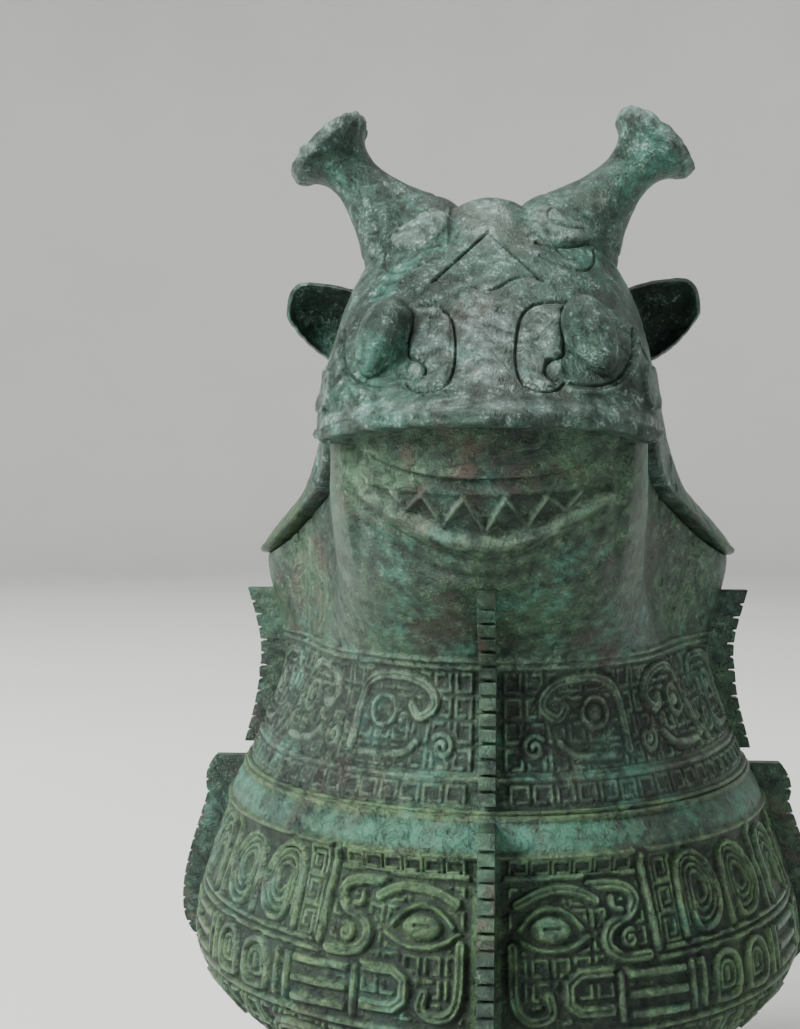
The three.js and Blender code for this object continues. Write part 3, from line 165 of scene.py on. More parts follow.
EAR_Z = CROWN_Z - 24
EAR_REACH = 14.5
EAR_TIP_REACH = 10.5
EAR_HALF_HEIGHT = 10
EAR_HALF_THICKNESS = 2.5
EAR_MIDDLE = 0.36
EAR_CUP = 4.6
EAR_RIM = 0.9
EAR_BULGE = 1.4
EAR_LEAN = 0.1
EYE_SPREAD = 19
EYE_Z = LIP_Z + 14
EYE_HALF = (4.7, 5.5, 8.5)
EYE_LEAN = 14
EYE_FORWARD = 1.1
EYE_AHEAD = 0.5
EYE_PIT_PLACE = (0.4, 1.6)
EYE_PIT_DEPTH = 0.5
EYE_PIT_RADIUS = 0.8
EYE_TOP_SWELL = 0.014
REAR_EYE_SPREAD = 15
REAR_EYE_Y = LID_BACK - 11
REAR_EYE_RADIUS = 5
REAR_EYE_PIT_DEPTH = 0.8
REAR_EYE_PIT_RADIUS = 0.9

# Notched flanges. A notch step has its share of a tooth's length and of the notch's depth. A side has its
# turn about the middle and the size of the outline that it stands on.
FLANGE_THICKNESS = 3.4
FLANGE_PROUD = 6.2
FLANGE_ROOT = 2.5
FLANGE_NOTCH_DEPTH = 1.6
FLANGE_NOTCH_PITCH = 6
FLANGE_END_GAP = 2.5
FLANGE_TOP_FLARE = 1.8
FLANGE_TAPER = 18
FLANGE_SEAM = 0.35
FLANGE_BEVEL = 0.15
FLANGE_BEVEL_ANGLE = 35
FLANGE_SMOOTH_ANGLE = 40
SPINE_PROUD = 6
SPINE_FRONT = NAPE_Y - 26 / 3
SPINE_BACK = LID_BACK - 24
NOTCH_STEPS = ((0, 0), (0.4, 0), (0.8, 0), (0.84, 1), (0.96, 1))
NECK_FLANGE_LOW = SHOULDER_Z + BAND_HALF_HEIGHT + FLANGE_END_GAP
NECK_FLANGE_HIGH = RIM_Z - 8
THROAT_FLANGE_HIGH = RIM_Z - FLANGE_END_GAP
BELLY_FLANGE_LOW = FOOT_TOP + FLANGE_END_GAP + 8
BELLY_FLANGE_HIGH = SHOULDER_Z + BAND_HALF_HEIGHT - 1
SIDES = {"left": (0, "half_width"), "right": (180, "half_width"), "front": (-90, "front"),
         "rear": (90, "back")}

# Handle with its clay core. A station of the head has its share of the length, of both half sizes and of
# the drop. A step of its nose has its share of the way to the middle and how far it stands out. A line on
# the loop has its width and its height.
HANDLE_TOP_Z = 132
HANDLE_REACH = 150
HANDLE_WIDTH = 15
HANDLE_THICKNESS = 9
HANDLE_LOW_Z = 56
HANDLE_HEAD_REACH = 114
HANDLE_HEAD_LENGTH = 42
HANDLE_HEAD_HALF = (15, 13)
HANDLE_HEAD_STATIONS = ((-0.3, 0.7, 0.75, 0), (0.1, 0.85, 0.9, 0), (0.4, 1, 1, 0), (0.62, 0.92, 0.92, 0.05),
                        (0.8, 0.8, 0.72, 0.22), (0.94, 0.76, 0.58, 0.34), (1, 0.6, 0.4, 0.4))
HANDLE_HEAD_START = -0.22
HANDLE_NOSE = ((0.35, 0.4), (0.7, 0.72), (1, 0.8))
HANDLE_FACE_DROP = 0.35
HANDLE_FOOT_REACH = 73
LOOP_ROUNDNESS = 0.9
LOOP_HALF_GIRTH = 22
LOOP_SCALES = 13
LOOP_SCALE_START = 24
LOOP_SCALE_PITCH = 10
LOOP_TRIM = (-17.6, -4.4)
LOOP_TRIM_START = 16
LOOP_LINE = (1.2, 0.7)
CORE_ENDS = 60
CORE_PROUD = 0.1
CORE_SIDE_GAP = 0.3
CORE_UNDER_GAP = 0.2
CORE_SQUARENESS = 1.3
CORE_WIDTH = 6
CORE_DEPTH = 4
CORE_SPAN = (0.2, 0.78)
HANDLE_EAR_PLACE = (11, HANDLE_HEAD_REACH - HANDLE_HEAD_LENGTH + 17, HANDLE_TOP_Z + 6)
HANDLE_EAR_LEAN = (1, -0.25, 0.5)
HANDLE_EAR_HALF = (4.4, 11, 4.4)
HANDLE_EAR_HOLLOW_PLACE = 5
HANDLE_EAR_HOLLOW_HALF = (2.2, 4)
HANDLE_EAR_HOLLOW_DEPTH = 2.0
TAIL_LENGTH = 20
TAIL_DROP = 26
TAIL_THICKNESS = 6
TAIL_BEVEL = 1.1
TAIL_ANGLE = 50

# Old skin of the casting. A layer of noise has the size of its lumps, its offset in the noise and its rise:
# waves, ripples, grain and sand. The noise of pits, eaten areas and worn areas has the first two.
UNEVEN_LAYERS = ((9, 0, 0.5), (3.7, 5.3, 0.25), (1.5, 9.1, 0.3), (0.8, 2.3, 0.18))
PIT_NOISE = (2.1, 3.7)
PIT_FROM = 0.68
PIT_SPAN = 0.16
EATEN_NOISE = (14, 1.9)
EATEN_FROM = 0.35
EATEN_GAIN = 3
WORN_NOISE = (15, 2.7)
WORN_GAIN = 1.6
WORN_SHIFT = -0.3
WORN_LEAST = 0.45

# How much of the old skin each kind of piece has
WEATHERED = {
    "foot": 0.8, "lid": 1.15, "tongue": 0.3, "horn": 1.2, "ear": 1.0, "eye": 0.6, "rear_eye": 0.9,
    "flange": 0.55, "loop": 0.7, "core": 1.2, "handle_head": 0.8, "handle_ear": 0.9, "tail": 0.8,
}

# Bronze in the materials: the names of its shares and of the values kept with the meshes, and for each
# bronze its shares and the height of its fine bumps in metres
PATINA_SHARES = ("Malachite", "Cuprite", "Pale", "Olive")
KEPT_VALUES = ("Raised", "Sunk", "Crust")
BRONZE_METALLIC = 0.4
BUMP_STRENGTH = 0.8
# The Pale share gives rubbed edges with painted highlights, most on the head; the Sunk value darkens
# grooves with dirt and painted shade
BRONZES = {
    "bronze_body": ((0.55, 0.32, 0.25, 1), 0.0012),
    "bronze_neck": ((0.7, 0.42, 0.25, 0.65), 0.0012),
    "bronze_head": ((0.7, 0.3, 0.5, 0.1), 0.0014),
    "bronze_dark": ((0.35, 0.7, 0.15, 0.6), 0.0012),
    "bronze_inside": ((0.4, 0.9, 0.1, 0.5), 0.0014),
}

# Clay and floor in the materials: what the colour falls to in the darker clouds, and how rough the skin is
CLAY_DIMMED = 0.45
CLAY_BUMP_HEIGHT = 0.0006
SAND_COLOUR = (0.5, 0.42, 0.32, 1)
FLOOR_DIMMED = 0.96
FLOOR_ROUGHNESS = 0.85

# The stage in metres: a round floor that bends up to a backdrop, and soft lights with sizes and places
FLOOR_RADIUS = 2.4
FLOOR_BEND = 1.0
BACKDROP_HEIGHT = 2.2
LIGHTS = {
    "key": (1.2, (-1.6, -0.85, 1.36)),
    "fill": (1.7, (1.6, -1.27, 0.77)),
    "top": (2.0, (0.08, 0.6, 2.13)),
}
AIM_HEIGHT = 0.12
CAMERA_NEAREST = 0.01
WORLD_COLOUR = (0.9, 0.93, 0.95, 1)
WORLD_STRENGTH = 0.23

# Sides of the object, the beast's left at +X
HANDS = (("left", 1), ("right", -1))

# Lengths of a quarter of the outline, on which the patterns are drawn
BELLY_QUARTER = 118
NECK_QUARTER = 100
FOOT_QUARTER = 81

# The solids are centred along their length, so what is drawn from the widest line moves by this much
MIDDLE_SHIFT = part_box("vessel_bowl")[0][1] / MM + MOUTH_FRONT

# How finely the sheets are divided
OUTLINE_SAMPLES = 1500
BELLY_COLUMNS = {"front": 385, "back": 270}
BELLY_ROWS = {"front": 245, "back": 185}
BOTTOM_ROWS = 10
NECK_COLUMNS = {"front": 330, "back": 230}
NECK_ROWS = {"front": 195, "back": 145}
HEAD_COLUMNS = 290
HEAD_ROWS = 290
ARCH_SAMPLES = 700
ROOF_COLUMNS = 170
ROOF_ROWS = 220
FOOT_COLUMNS = 310
FOOT_ROWS = 60
PLAIN_COLUMNS = 180
PLAIN_ROWS = 60
NECK_LEVELS = 110
LINING_LEVELS = 120
TONGUE_LEVELS = 90
PANEL_LEVELS = 30
PANEL_ROWS = 24
TURN_ROWS = 6
HORN_STEPS = 42
EYE_STEPS = (72, 48)
EAR_STEPS = (112, 96)
SMALL_BALL_STEPS = (48, 32)
LOOP_STEPS = 200
LOOP_ROUND = 113
CORE_STEPS = 400
CORE_ROUND = 25
HANDLE_HEAD_STEPS = 110
HANDLE_HEAD_ROUND = 161
TAIL_STEPS = 41
TAIL_ACROSS = 13
FACE_HALVINGS = 40
FLOOR_ROUND = 97
FLOOR_RINGS = 8
FLOOR_BEND_RINGS = 13
NOISE_CELLS = 32
NOISE_SEED = 11
NOISE = np.random.default_rng(NOISE_SEED).random((NOISE_CELLS,) * 3)

# Steps in one turn of a round spiral, and how much of a square spiral's pitch its line fills
SPIRAL_STEPS = 20
SPIRAL_LINE_SHARE = 0.46

# A place off every sheet for points that carry no ornament, and lengths that keep divisions from failing
OFF_SHEET = 1000
LEAST_WIDTH = 0.01
TINY = 1e-9

# How near points are that get joined, in metres
WELD_DISTANCE = 0.00002
TAIL_WELD_DISTANCE = 0.0002
FLOOR_WELD_DISTANCE = 0.0005


def length_setting(label, description, default):
    """A length in metres for the sidebar."""
    return FloatProperty(name=label, description=description, default=default, unit="LENGTH")


def angle_setting(label, description, degrees):
    """An angle for the sidebar."""
    return FloatProperty(name=label, description=description, subtype="ANGLE",
                         default=math.radians(degrees))


def colour_setting(label, description, default):
    """A colour for the sidebar."""
    return FloatVectorProperty(name=label, description=description, subtype="COLOR", size=3, min=0, max=1,
                               default=default)


class GuangReliefSettings(bpy.types.PropertyGroup):
    """Heights and widths of the cast ornament"""

    line_width: length_setting("Line width", "Width of the fine raised lines", 0.0008)
    line_height: length_setting("Line height", "How far the fine lines stand out", 0.0007)
    bold_width: length_setting("Bold width", "Width of the bold hooks and curls", 0.0021)
    bold_height: length_setting("Bold height", "How far the bold hooks and curls stand out", 0.0011)
    groove_width: length_setting("Groove width", "Width of the incised lines", 0.0006)
    groove_depth: length_setting("Groove depth", "Depth of the incised lines", 0.0008)
    edge: length_setting("Edge softness", "Width over which a line falls to the ground", 0.0004)
    pit_depth: length_setting("Pit depth", "Depth of the corrosion pits", 0.0003)
    waviness: length_setting("Waviness", "Unevenness of the cast surface", 0.0004)


class GuangPatinaSettings(bpy.types.PropertyGroup):
    """Colours of the corroded bronze"""

    dark: colour_setting("Dark", "Dark green of the sound patina", (0.009, 0.022, 0.015))
    green: colour_setting("Green", "Middle green of the patina", (0.042, 0.098, 0.073))
    olive: colour_setting("Olive", "Yellower green of the lower body", (0.046, 0.092, 0.036))
    # Pale and Moss are worn edges and painted highlights: rubbed patina, whitened further to paint the
    # sheen of lit edges
    pale: colour_setting("Pale", "Grey green of rubbed edges", (0.36, 0.45, 0.43))
    moss: colour_setting("Moss", "Rubbed edges of the yellower green", (0.145, 0.25, 0.115))
    malachite: colour_setting("Malachite", "Blue green crust", (0.048, 0.175, 0.13))
    cuprite: colour_setting("Cuprite", "Red brown under the crust", (0.062, 0.038, 0.030))
    # Earth darkens sunk ground and grooves, partly as dirt and partly as painted shade
    soil_and_shade_colour: colour_setting("Earth", "Dark soil left in the grooves", (0.008, 0.013, 0.010))
    clay: colour_setting("Clay", "Fired clay of the casting core", (0.26, 0.17, 0.11))


class GuangStageSettings(bpy.types.PropertyGroup):
    """Camera, floor and light"""

    camera_place: FloatVectorProperty(name="Camera place", description="Where the camera stands",
                                      subtype="TRANSLATION", unit="LENGTH", size=3,
                                      default=(0.007, -0.39005, 0.166))
    camera_dip: angle_setting("Camera dip", "How far the camera looks down", 1.3)
    camera_turn: angle_setting("Camera turn", "How far the camera turns to its left", 4.7)
    lens: FloatProperty(name="Lens", description="Focal length in millimetres on a 36 mm frame",
                        default=52.7)
    floor: colour_setting("Floor", "Pale floor colour", (0.62, 0.62, 0.60))
    key: FloatProperty(name="Key light", description="Power of the main soft light in watts", default=156)
    fill: FloatProperty(name="Fill light", description="Power of the fill light in watts", default=17)
    top: FloatProperty(name="Top light", description="Power of the overhead light in watts", default=26)


# Shapes of the casting

def fair(stations, at):
    """Value at a place on a smooth curve through stations, level at both ends and never past a station."""
    places = np.array([station[0] for station in stations], float)
    values = np.array([station[1] for station in stations], float)
    at = np.clip(at, places[0], places[-1])
    span = np.diff(places)
    gradient = np.diff(values) / span
    slope = np.zeros(len(places))
    before = gradient[:-1]
    after = gradient[1:]
    same = before * after > 0
    slope[1:-1][same] = 2 * before[same] * after[same] / (before[same] + after[same])
    i = np.clip(np.searchsorted(places, at, side="right") - 1, 0, len(span) - 1)
    u = (at - places[i]) / span[i]
    start = (1 + 2 * u) * (1 - u) ** 2 * values[i] + u * (1 - u) ** 2 * span[i] * slope[i]
    end = u ** 2 * (3 - 2 * u) * values[i + 1] + u ** 2 * (u - 1) * span[i] * slope[i + 1]
    return start + end


def ramp(value):
    """Smooth step from 0 to 1."""
    value = np.clip(value, 0, 1)
    return value * value * (3 - 2 * value)


def mix(a, b, share):
    """Place between a and b."""
    return a + (b - a) * share


def lattice_noise(points, size, offset):
    """Seeded noise from 0 to 1 at points in millimetres, with lumps of about the given size."""
    place = points / size + offset
    cell = np.floor(place).astype(int)
    part = place - cell
    part = part * part * (3 - 2 * part)
    total = 0
    for corner in np.ndindex(2, 2, 2):
        weight = np.prod(np.where(corner, part, 1 - part), axis=-1)
        i, j, k = ((cell[..., axis] + corner[axis]) % NOISE_CELLS for axis in range(3))
        total = total + weight * NOISE[i, j, k]
    return total


def layered_noise(points, layers):
    """Seeded noise about 0 in layers, each with the size of its lumps, its offset and its rise."""
    return sum(rise * (lattice_noise(points, lump, offset) - 0.5) for lump, offset, rise in layers)


def rim_height(y):
    """Height of the vessel's rim along its length."""
    return fair(RIM_LINE, y)


def crest_height(y):
    """Height of the lid's ridge along its length."""
    return fair(CREST_LINE, y)


def wall_size(field, z):
    """One of the sizes of the vessel's outline at given heights."""
    return fair(list(zip(WALL_HEIGHTS, WALL[field])), z)


def level_outline(z, grow=0):
    """Sizes of the vessel's outline at one height, grown outward by some millimetres."""
    off_band = (z - SHOULDER_Z) / BAND_HALF_HEIGHT
    band = BAND_PROUD * max(0, 1 - off_band ** 2) if grow >= 0 else 0
    return {field: wall_size(field, z) + grow + band for field in WALL}


def half_width(outline, y):
    """Half width of an outline: a spout that opens into a bowl, with round ends."""
    along = np.clip((y + outline["front"]) / outline["front"], 0, 1)
    opening = along ** SPOUT_FLARE * (1 + SPOUT_FLARE * (1 - along))
    from_tip = np.clip((y + outline["front"]) / outline["tip"], 0, 1)
    from_tail = np.clip((outline["back"] - y) / outline["back"], 0, 1)
    rounding = np.sqrt((1 - (1 - from_tip) ** 2) * (1 - (1 - from_tail) ** 2))
    return mix(outline["spout"], outline["half_width"], opening) * rounding


def run_length(steps):
    """How far along a line each of its points is, from the lengths of its steps."""
    return np.concatenate([[0], np.cumsum(steps)])


def even_places(x, y, shares):
    """Points at given shares of the length of a line."""
    length = run_length(np.hypot(np.diff(x), np.diff(y)))
    at = shares * length[-1]
    return np.interp(at, length, x), np.interp(at, length, y)


def half_ring(t, levels, back, grow=0):
    """x and y on half of the vessel's wall, a row for each level: t is 0 at the middle, 1 at the sides."""
    turn = np.linspace(0, np.pi / 2, OUTLINE_SAMPLES)
    shares = 1 - np.abs(t) if back else np.abs(t)
    side = -np.sign(t) if back else np.sign(t)
    x_rows = []
    y_rows = []
    for z in levels:
        outline = level_outline(z, grow)
        y = outline["back"] * np.sin(turn) if back else -outline["front"] * np.cos(turn)
        x_even, y_even = even_places(half_width(outline, y), y, shares)
        x_rows.append(x_even * side)
        y_rows.append(y_even)
    return np.array(x_rows), np.array(y_rows)


def whole_ring(t, levels, grow=0):
    """x and y all round the vessel's wall, the front half and then the rear one."""
    halves = (half_ring(t, levels, back, grow) for back in (False, True))
    return [np.concatenate([front, rear[:, 1:]], axis=1) for front, rear in zip(*halves)]


def read_levels(table, levels, z):
    """A table with a row for each level, read at other heights column by column."""
    return np.stack([np.interp(z[:, j], levels, table[:, j]) for j in range(table.shape[1])], axis=1)


def read_wall(tables, levels, z):
    """Points of the wall at given heights, from its tables of x and y."""
    return np.stack([read_levels(table, levels, z) for table in tables] + [z], axis=2)


def floor_of(wall):
    """Rows of points from the middle out to the lowest row of a wall."""
    shrink = np.linspace(0, 1, BOTTOM_ROWS, endpoint=False)[:, None, None]
    return wall[:1] * np.concatenate([shrink, shrink, np.ones_like(shrink)], axis=2)


def rim_levels(levels, y):
    """Height at which each column of the wall meets the rim."""
    over = levels[:, None] - rim_height(y)
    first = np.clip(np.argmax(over > 0, axis=0), 1, len(levels) - 1)
    columns = np.arange(y.shape[1])
    above = over[first, columns]
    below = over[first - 1, columns]
    return mix(levels[first - 1], levels[first], below / (below - above))


def roundness_at(y):
    """Roundness of the lid's cross section: boxy at the head, gabled at the roof."""
    return mix(HEAD_ROUNDNESS, ROOF_ROUNDNESS, ramp((y - HEAD_BACK) / (NAPE_Y - HEAD_BACK)))


def boxy(value, power):
    """A number raised to a power with its sign kept, which makes a round section boxier or more pinched."""
    return np.sign(value) * np.abs(value) ** power


def lid_arch(y, turn, inset=0):
    """x and z of the lid's surface at one place along its length."""
    outline = {field: size - inset for field, size in LID_EDGE.items()}
    base = rim_height(y)
    rise = np.maximum(crest_height(y) - inset - base, LID_LEAST_RISE)
    roundness = roundness_at(y)
    x = -half_width(outline, y) * boxy(np.cos(turn), roundness)
    return x, base + rise * np.abs(np.sin(turn)) ** roundness


def lid_height(x, y):
    """Height of the lid's surface."""
    across = np.minimum(np.abs(x) / np.maximum(half_width(LID_EDGE, y), LEAST_WIDTH), 1)
    power = 2 / roundness_at(y)
    return rim_height(y) + (crest_height(y) - rim_height(y)) * (1 - across ** power) ** (1 / power)


def lid_normal(x, y):
    """Outward direction of the lid's surface."""
    step = 0.5
    along = (lid_height(x, y + step) - lid_height(x, y - step)) / (2 * step)
    across = (lid_height(x + step, y) - lid_height(x - step, y)) / (2 * step)
    return Vector((-across, -along, 1)).normalized()


# Lines and motifs of the ornament, in millimetres on the sheet

def soften(points, rounds=2):
    """A line with its corners rounded by cutting them."""
    points = np.array(points, float)
    for _ in range(rounds):
        start = 0.75 * points[:-1] + 0.25 * points[1:]
        end = 0.25 * points[:-1] + 0.75 * points[1:]
        inner = np.stack([start, end], axis=1).reshape(-1, 2)
        points = np.vstack([points[:1], inner[1:-1], points[-1:]])
    return points


def square_spiral(left, low, right, high, pitch):
    """A square spiral that starts at the lower left corner and turns inward."""
    points = [(left, low)]
    while right - left > pitch and high - low > pitch:
        points += [(left, high), (right, high), (right, low), (left + pitch, low)]
        left += pitch
        right -= pitch
        low += pitch
        high -= pitch
    return np.array(points, float)


def round_spiral(centre, radius, turns, start, hand=1, inner=0.15):
    """A round spiral from its outer end to its middle; start is an angle in degrees."""
    share = np.linspace(0, 1, int(SPIRAL_STEPS * turns) + 2)
    angle = math.radians(start) + hand * 2 * np.pi * turns * share
    reach = radius * mix(1, inner, share)
    return np.stack([centre[0] + reach * np.cos(angle), centre[1] + reach * np.sin(angle)], axis=1)


def oval(centre, half_across, half_up, turn=0, count=28):
    """A closed oval, turned by some degrees."""
    angle = np.linspace(0, 2 * np.pi, count + 1)
    across = half_across * np.cos(angle)
    up = half_up * np.sin(angle)
    tilt = math.radians(turn)
    return np.stack([centre[0] + across * math.cos(tilt) - up * math.sin(tilt),
                     centre[1] + across * math.sin(tilt) + up * math.cos(tilt)], axis=1)


def joined(*lines):
    """Lines joined end to end."""
    return np.vstack([np.array(line, float) for line in lines])


def nested(points, centre, share):
    """A line drawn in toward a centre."""
    return mix(np.array(centre, float), np.array(points, float), share)


def shifted(points, over, rise):
    """A line moved over and up the sheet."""
    return [(across + over, up + rise) for across, up in points]


def raised_by(points, rise):
    """A line moved up the sheet."""
    return shifted(points, 0, rise)


def gap_to(spots, start, end):
    """How far points are from the straight line between two ends."""
    run = end - start
    offset = spots - start
    share = np.clip(offset @ run / max(run @ run, TINY), 0, 1)
    return np.linalg.norm(offset - share[:, None] * run, axis=1)


class Carving:
    """Heights of lines and shapes drawn on a sheet, with the sheet's own places in millimetres."""

    def __init__(self, across, up):
        settings = bpy.context.scene.guang_relief
        self.shape = np.broadcast(across, up).shape
        self.across = np.broadcast_to(across, self.shape).ravel()
        self.up = np.broadcast_to(up, self.shape).ravel()
        self.height, self.depth, self.floor, self.crust = np.zeros((4, self.across.size))
        for label in ("line_width", "line_height", "bold_width", "bold_height", "groove_width",
                      "groove_depth", "edge"):
            setattr(self, label, getattr(settings, label) / MM)

    def box(self, low, high):
        """Points of the sheet inside a box."""
        inside = (self.across >= low[0]) & (self.across <= high[0])
        return np.flatnonzero(inside & (self.up >= low[1]) & (self.up <= high[1]))

    def away(self, points, reach):
        """Points of the sheet near a line, and how far each one is from it."""
        points = np.array(points, float)
        where = self.box(points.min(axis=0) - reach, points.max(axis=0) + reach)
        spot = np.stack([self.across[where], self.up[where]], axis=1)
        best = np.full(len(where), np.inf)
        for start, end in zip(points[:-1], points[1:]):
            low = np.minimum(start, end) - reach
            high = np.maximum(start, end) + reach
            near = np.flatnonzero(((spot >= low) & (spot <= high)).all(axis=1))
            best[near] = np.minimum(best[near], gap_to(spot[near], start, end))
        return where, best

    def stroke(self, points, width):
        """Points of the sheet near a line, and how full its stroke is at each one, from 0 to 1."""
        where, gap = self.away(points, width / 2 + self.edge)
        return where, ramp((width / 2 + self.edge / 2 - gap) / self.edge)

    def line(self, points, width=None, height=None):
        """A raised line."""
        width = width or self.line_width
        height = height or self.line_height
        where, full = self.stroke(points, width)
        self.height[where] = np.maximum(self.height[where], height * full)

    def groove(self, points, width=None, depth=None):
        """An incised line."""
        width = width or self.groove_width
        depth = depth or self.groove_depth
        where, full = self.stroke(points, width)
        self.depth[where] = np.maximum(self.depth[where], depth * full)

    def clear(self, points, width):
        """Takes away what was raised near a line."""
        where, gap = self.away(points, width / 2 + self.edge)
        self.height[where] *= ramp((gap - width / 2) / self.edge)

    def bold(self, points, width=None, height=None, split=True):
        """A bold raised band with bare ground beside it and an incised line along its middle."""
        width = width or self.bold_width
        height = height or self.bold_height
        self.clear(points, width + 2 * self.line_width)
        self.line(points, width, height)
        if split and width > 2 * self.line_width:
            self.groove(points, self.line_width / 2, height / 2)

    def plain(self, points, width):
        """A bold raised band without the incised line."""
        self.bold(points, width, split=False)

    def area(self, outline, height, edge):
        """A raised shape with rounded edges."""
        outline = np.array(outline, float)
        where = self.box(outline.min(axis=0), outline.max(axis=0))
        spots = np.stack([self.across[where], self.up[where]], axis=1)
        across, up = spots.T
        inside = np.zeros(len(where), bool)
        gap = np.full(len(where), np.inf)
        for start, end in zip(outline, np.roll(outline, -1, axis=0)):
            spans = (start[1] > up) != (end[1] > up)
            rise = end[1] - start[1]
            if rise != 0:
                inside ^= spans & (across < start[0] + (up - start[1]) / rise * (end[0] - start[0]))
            gap = np.minimum(gap, gap_to(spots, start, end))
        lift = np.where(inside, height * np.sqrt(1 - (1 - np.clip(gap / edge, 0, 1)) ** 2), 0)
        self.height[where] = np.maximum(self.height[where], lift)

    def ground(self, left, right, low, high):
        """Marks sunk ground between the lines, which the bronze darkens as dirt and as painted shade."""
        self.floor[self.box((left, low), (right, high))] = 1

    def spirals(self, left, right, low, high, cell, pitch):
        """Fills a box with small square spirals of fine lines, turned and mirrored in turn."""
        where = self.box((left, low), (right, high))
        columns = max(1, round((right - left) / cell))
        rows = max(1, round((high - low) / cell))
        width = (right - left) / columns
        tall = (high - low) / rows
        i = np.floor((self.across[where] - left) / width)
        j = np.floor((self.up[where] - low) / tall)
        across = self.across[where] - left - i * width
        up = self.up[where] - low - j * tall
        turned = (i + j) % 2 == 1
        across = np.where(turned, width - across, across)
        up = np.where(j % 2 == 1, tall - up, up)
        margin = pitch / 2
        one = Carving(across, up)
        one.line(square_spiral(margin, margin, width - margin, tall - margin, pitch),
                 pitch * SPIRAL_LINE_SHARE)
        self.height[where] = np.maximum(self.height[where], one.height)
        self.floor[where] = 1

    def lift(self):
        """Height of the carved surface over the sheet."""
        return (self.height - self.depth).reshape(self.shape)

    def raised(self):
        """How much of a raised line shows, from 0 to 1."""
        return np.clip(self.height / self.line_height, 0, 1).reshape(self.shape)

    def sunk(self):
        """How much of sunk ground or groove shows, from 0 to 1."""
        bare = self.floor * (1 - np.clip(self.height / self.line_height, 0, 1))
        return np.clip(bare + self.depth / self.groove_depth, 0, 1).reshape(self.shape)


# Pieces of mesh

def only(piece):
    """Selects one object and nothing else."""
    bpy.ops.object.select_all(action="DESELECT")
    piece.select_set(True)
    bpy.context.view_layer.objects.active = piece


def named(piece, name):
    """Names an object and its mesh."""
    piece.name = name
    piece.data.name = name
    return piece


def points_of(piece):
    """Places of a mesh's points in metres."""
    flat = np.empty(3 * len(piece.data.vertices))
    piece.data.vertices.foreach_get("co", flat)
    return flat.reshape(-1, 3)


def set_points(piece, points):
    """Moves a mesh's points."""
    piece.data.vertices.foreach_set("co", np.ascontiguousarray(points, dtype=np.float32).ravel())
    piece.data.update()


def point_normals(piece):
    """Outward directions at a mesh's points."""
    flat = np.empty(3 * len(piece.data.vertices), dtype=np.float32)
    piece.data.vertex_normals.foreach_get("vector", flat)
    return flat.reshape(-1, 3)


def put_values(piece, label, values):
    """Keeps a number for each point, for the materials to read."""
    attribute = piece.data.attributes.new(label, "FLOAT", "POINT")
    attribute.data.foreach_set("value", np.ascontiguousarray(values, dtype=np.float32).ravel())


def weathering(points):
    """Uneven skin and corrosion pits of the old casting, in millimetres."""
    settings = bpy.context.scene.guang_relief
    uneven = layered_noise(points, UNEVEN_LAYERS)
    eaten = ramp((lattice_noise(points, *EATEN_NOISE) - EATEN_FROM) * EATEN_GAIN)
    pits = ramp((lattice_noise(points, *PIT_NOISE) - PIT_FROM) / PIT_SPAN) * eaten
    return settings.waviness / MM * uneven - settings.pit_depth / MM * pits


def sheet_normals(points):
    """Directions straight out of a sheet of points."""
    normal = np.cross(np.gradient(points, axis=1), np.gradient(points, axis=0))
    return normal / np.maximum(np.linalg.norm(normal, axis=2, keepdims=True), TINY)


def new_grid(name, columns, rows):
    """A grid primitive, and the row and the column of each of its points."""
    bpy.ops.object.select_all(action="DESELECT")
    bpy.ops.mesh.primitive_grid_add(x_subdivisions=columns, y_subdivisions=rows, size=2)
    piece = named(bpy.context.object, name)
    flat = points_of(piece)
    column = np.rint((flat[:, 0] + 1) / 2 * columns).astype(int)
    row = np.rint((flat[:, 1] + 1) / 2 * rows).astype(int)
    return piece, row, column


def laid_sheet(name, points, carving=None, weathered=1.0):
    """A grid primitive whose points are laid on a surface and carved along its normals, in millimetres."""
    piece, row, column = new_grid(name, points.shape[1] - 1, points.shape[0] - 1)
    lift = weathered * weathering(points)
    if carving:
        lift = lift + carving.lift()
    shaped = points + sheet_normals(points) * lift[..., None]
    shaped[..., 1] += MIDDLE_SHIFT
    set_points(piece, shaped[row, column] * MM)
    if carving:
        put_values(piece, "raised", carving.raised()[row, column])
        put_values(piece, "sunk", carving.sunk()[row, column])
        put_values(piece, "crust", carving.crust.reshape(carving.shape)[row, column])
    bpy.ops.object.shade_smooth()
    return piece


def edit_whole(piece, operator, **settings):
    """Runs an operator of edit mode on all of a piece."""
    only(piece)
    bpy.ops.object.mode_set(mode="EDIT")
    bpy.ops.mesh.select_all(action="SELECT")
    operator(**settings)
    bpy.ops.object.mode_set(mode="OBJECT")
    return piece


def weld(piece, distance=WELD_DISTANCE):
    """Joins points that lie on each other, so that seams and poles are closed."""
    return edit_whole(piece, bpy.ops.mesh.remove_doubles, threshold=distance)


def outward(piece):
    """Turns the faces of a closed piece outward."""
    return edit_whole(piece, bpy.ops.mesh.normals_make_consistent, inside=False)


def smooth_by_angle(piece, degrees):
    """Shades a piece smooth apart from edges sharper than an angle."""
    only(piece)
    bpy.ops.object.shade_smooth_by_angle(angle=math.radians(degrees))
    return piece


def finish_with(piece, kind, **settings):
    """Adds a modifier and applies it."""
    only(piece)
    modifier = piece.modifiers.new(kind.title(), kind)
    for key, value in settings.items():
        setattr(modifier, key, value)
    bpy.ops.object.modifier_apply(modifier=modifier.name)
    return piece


def weather(piece, share=1.0):
    """Roughens a finished piece along its own normals."""
    points = points_of(piece) / MM
    lift = share * weathering(points)
    set_points(piece, (points + point_normals(piece) * lift[:, None]) * MM)
    return piece


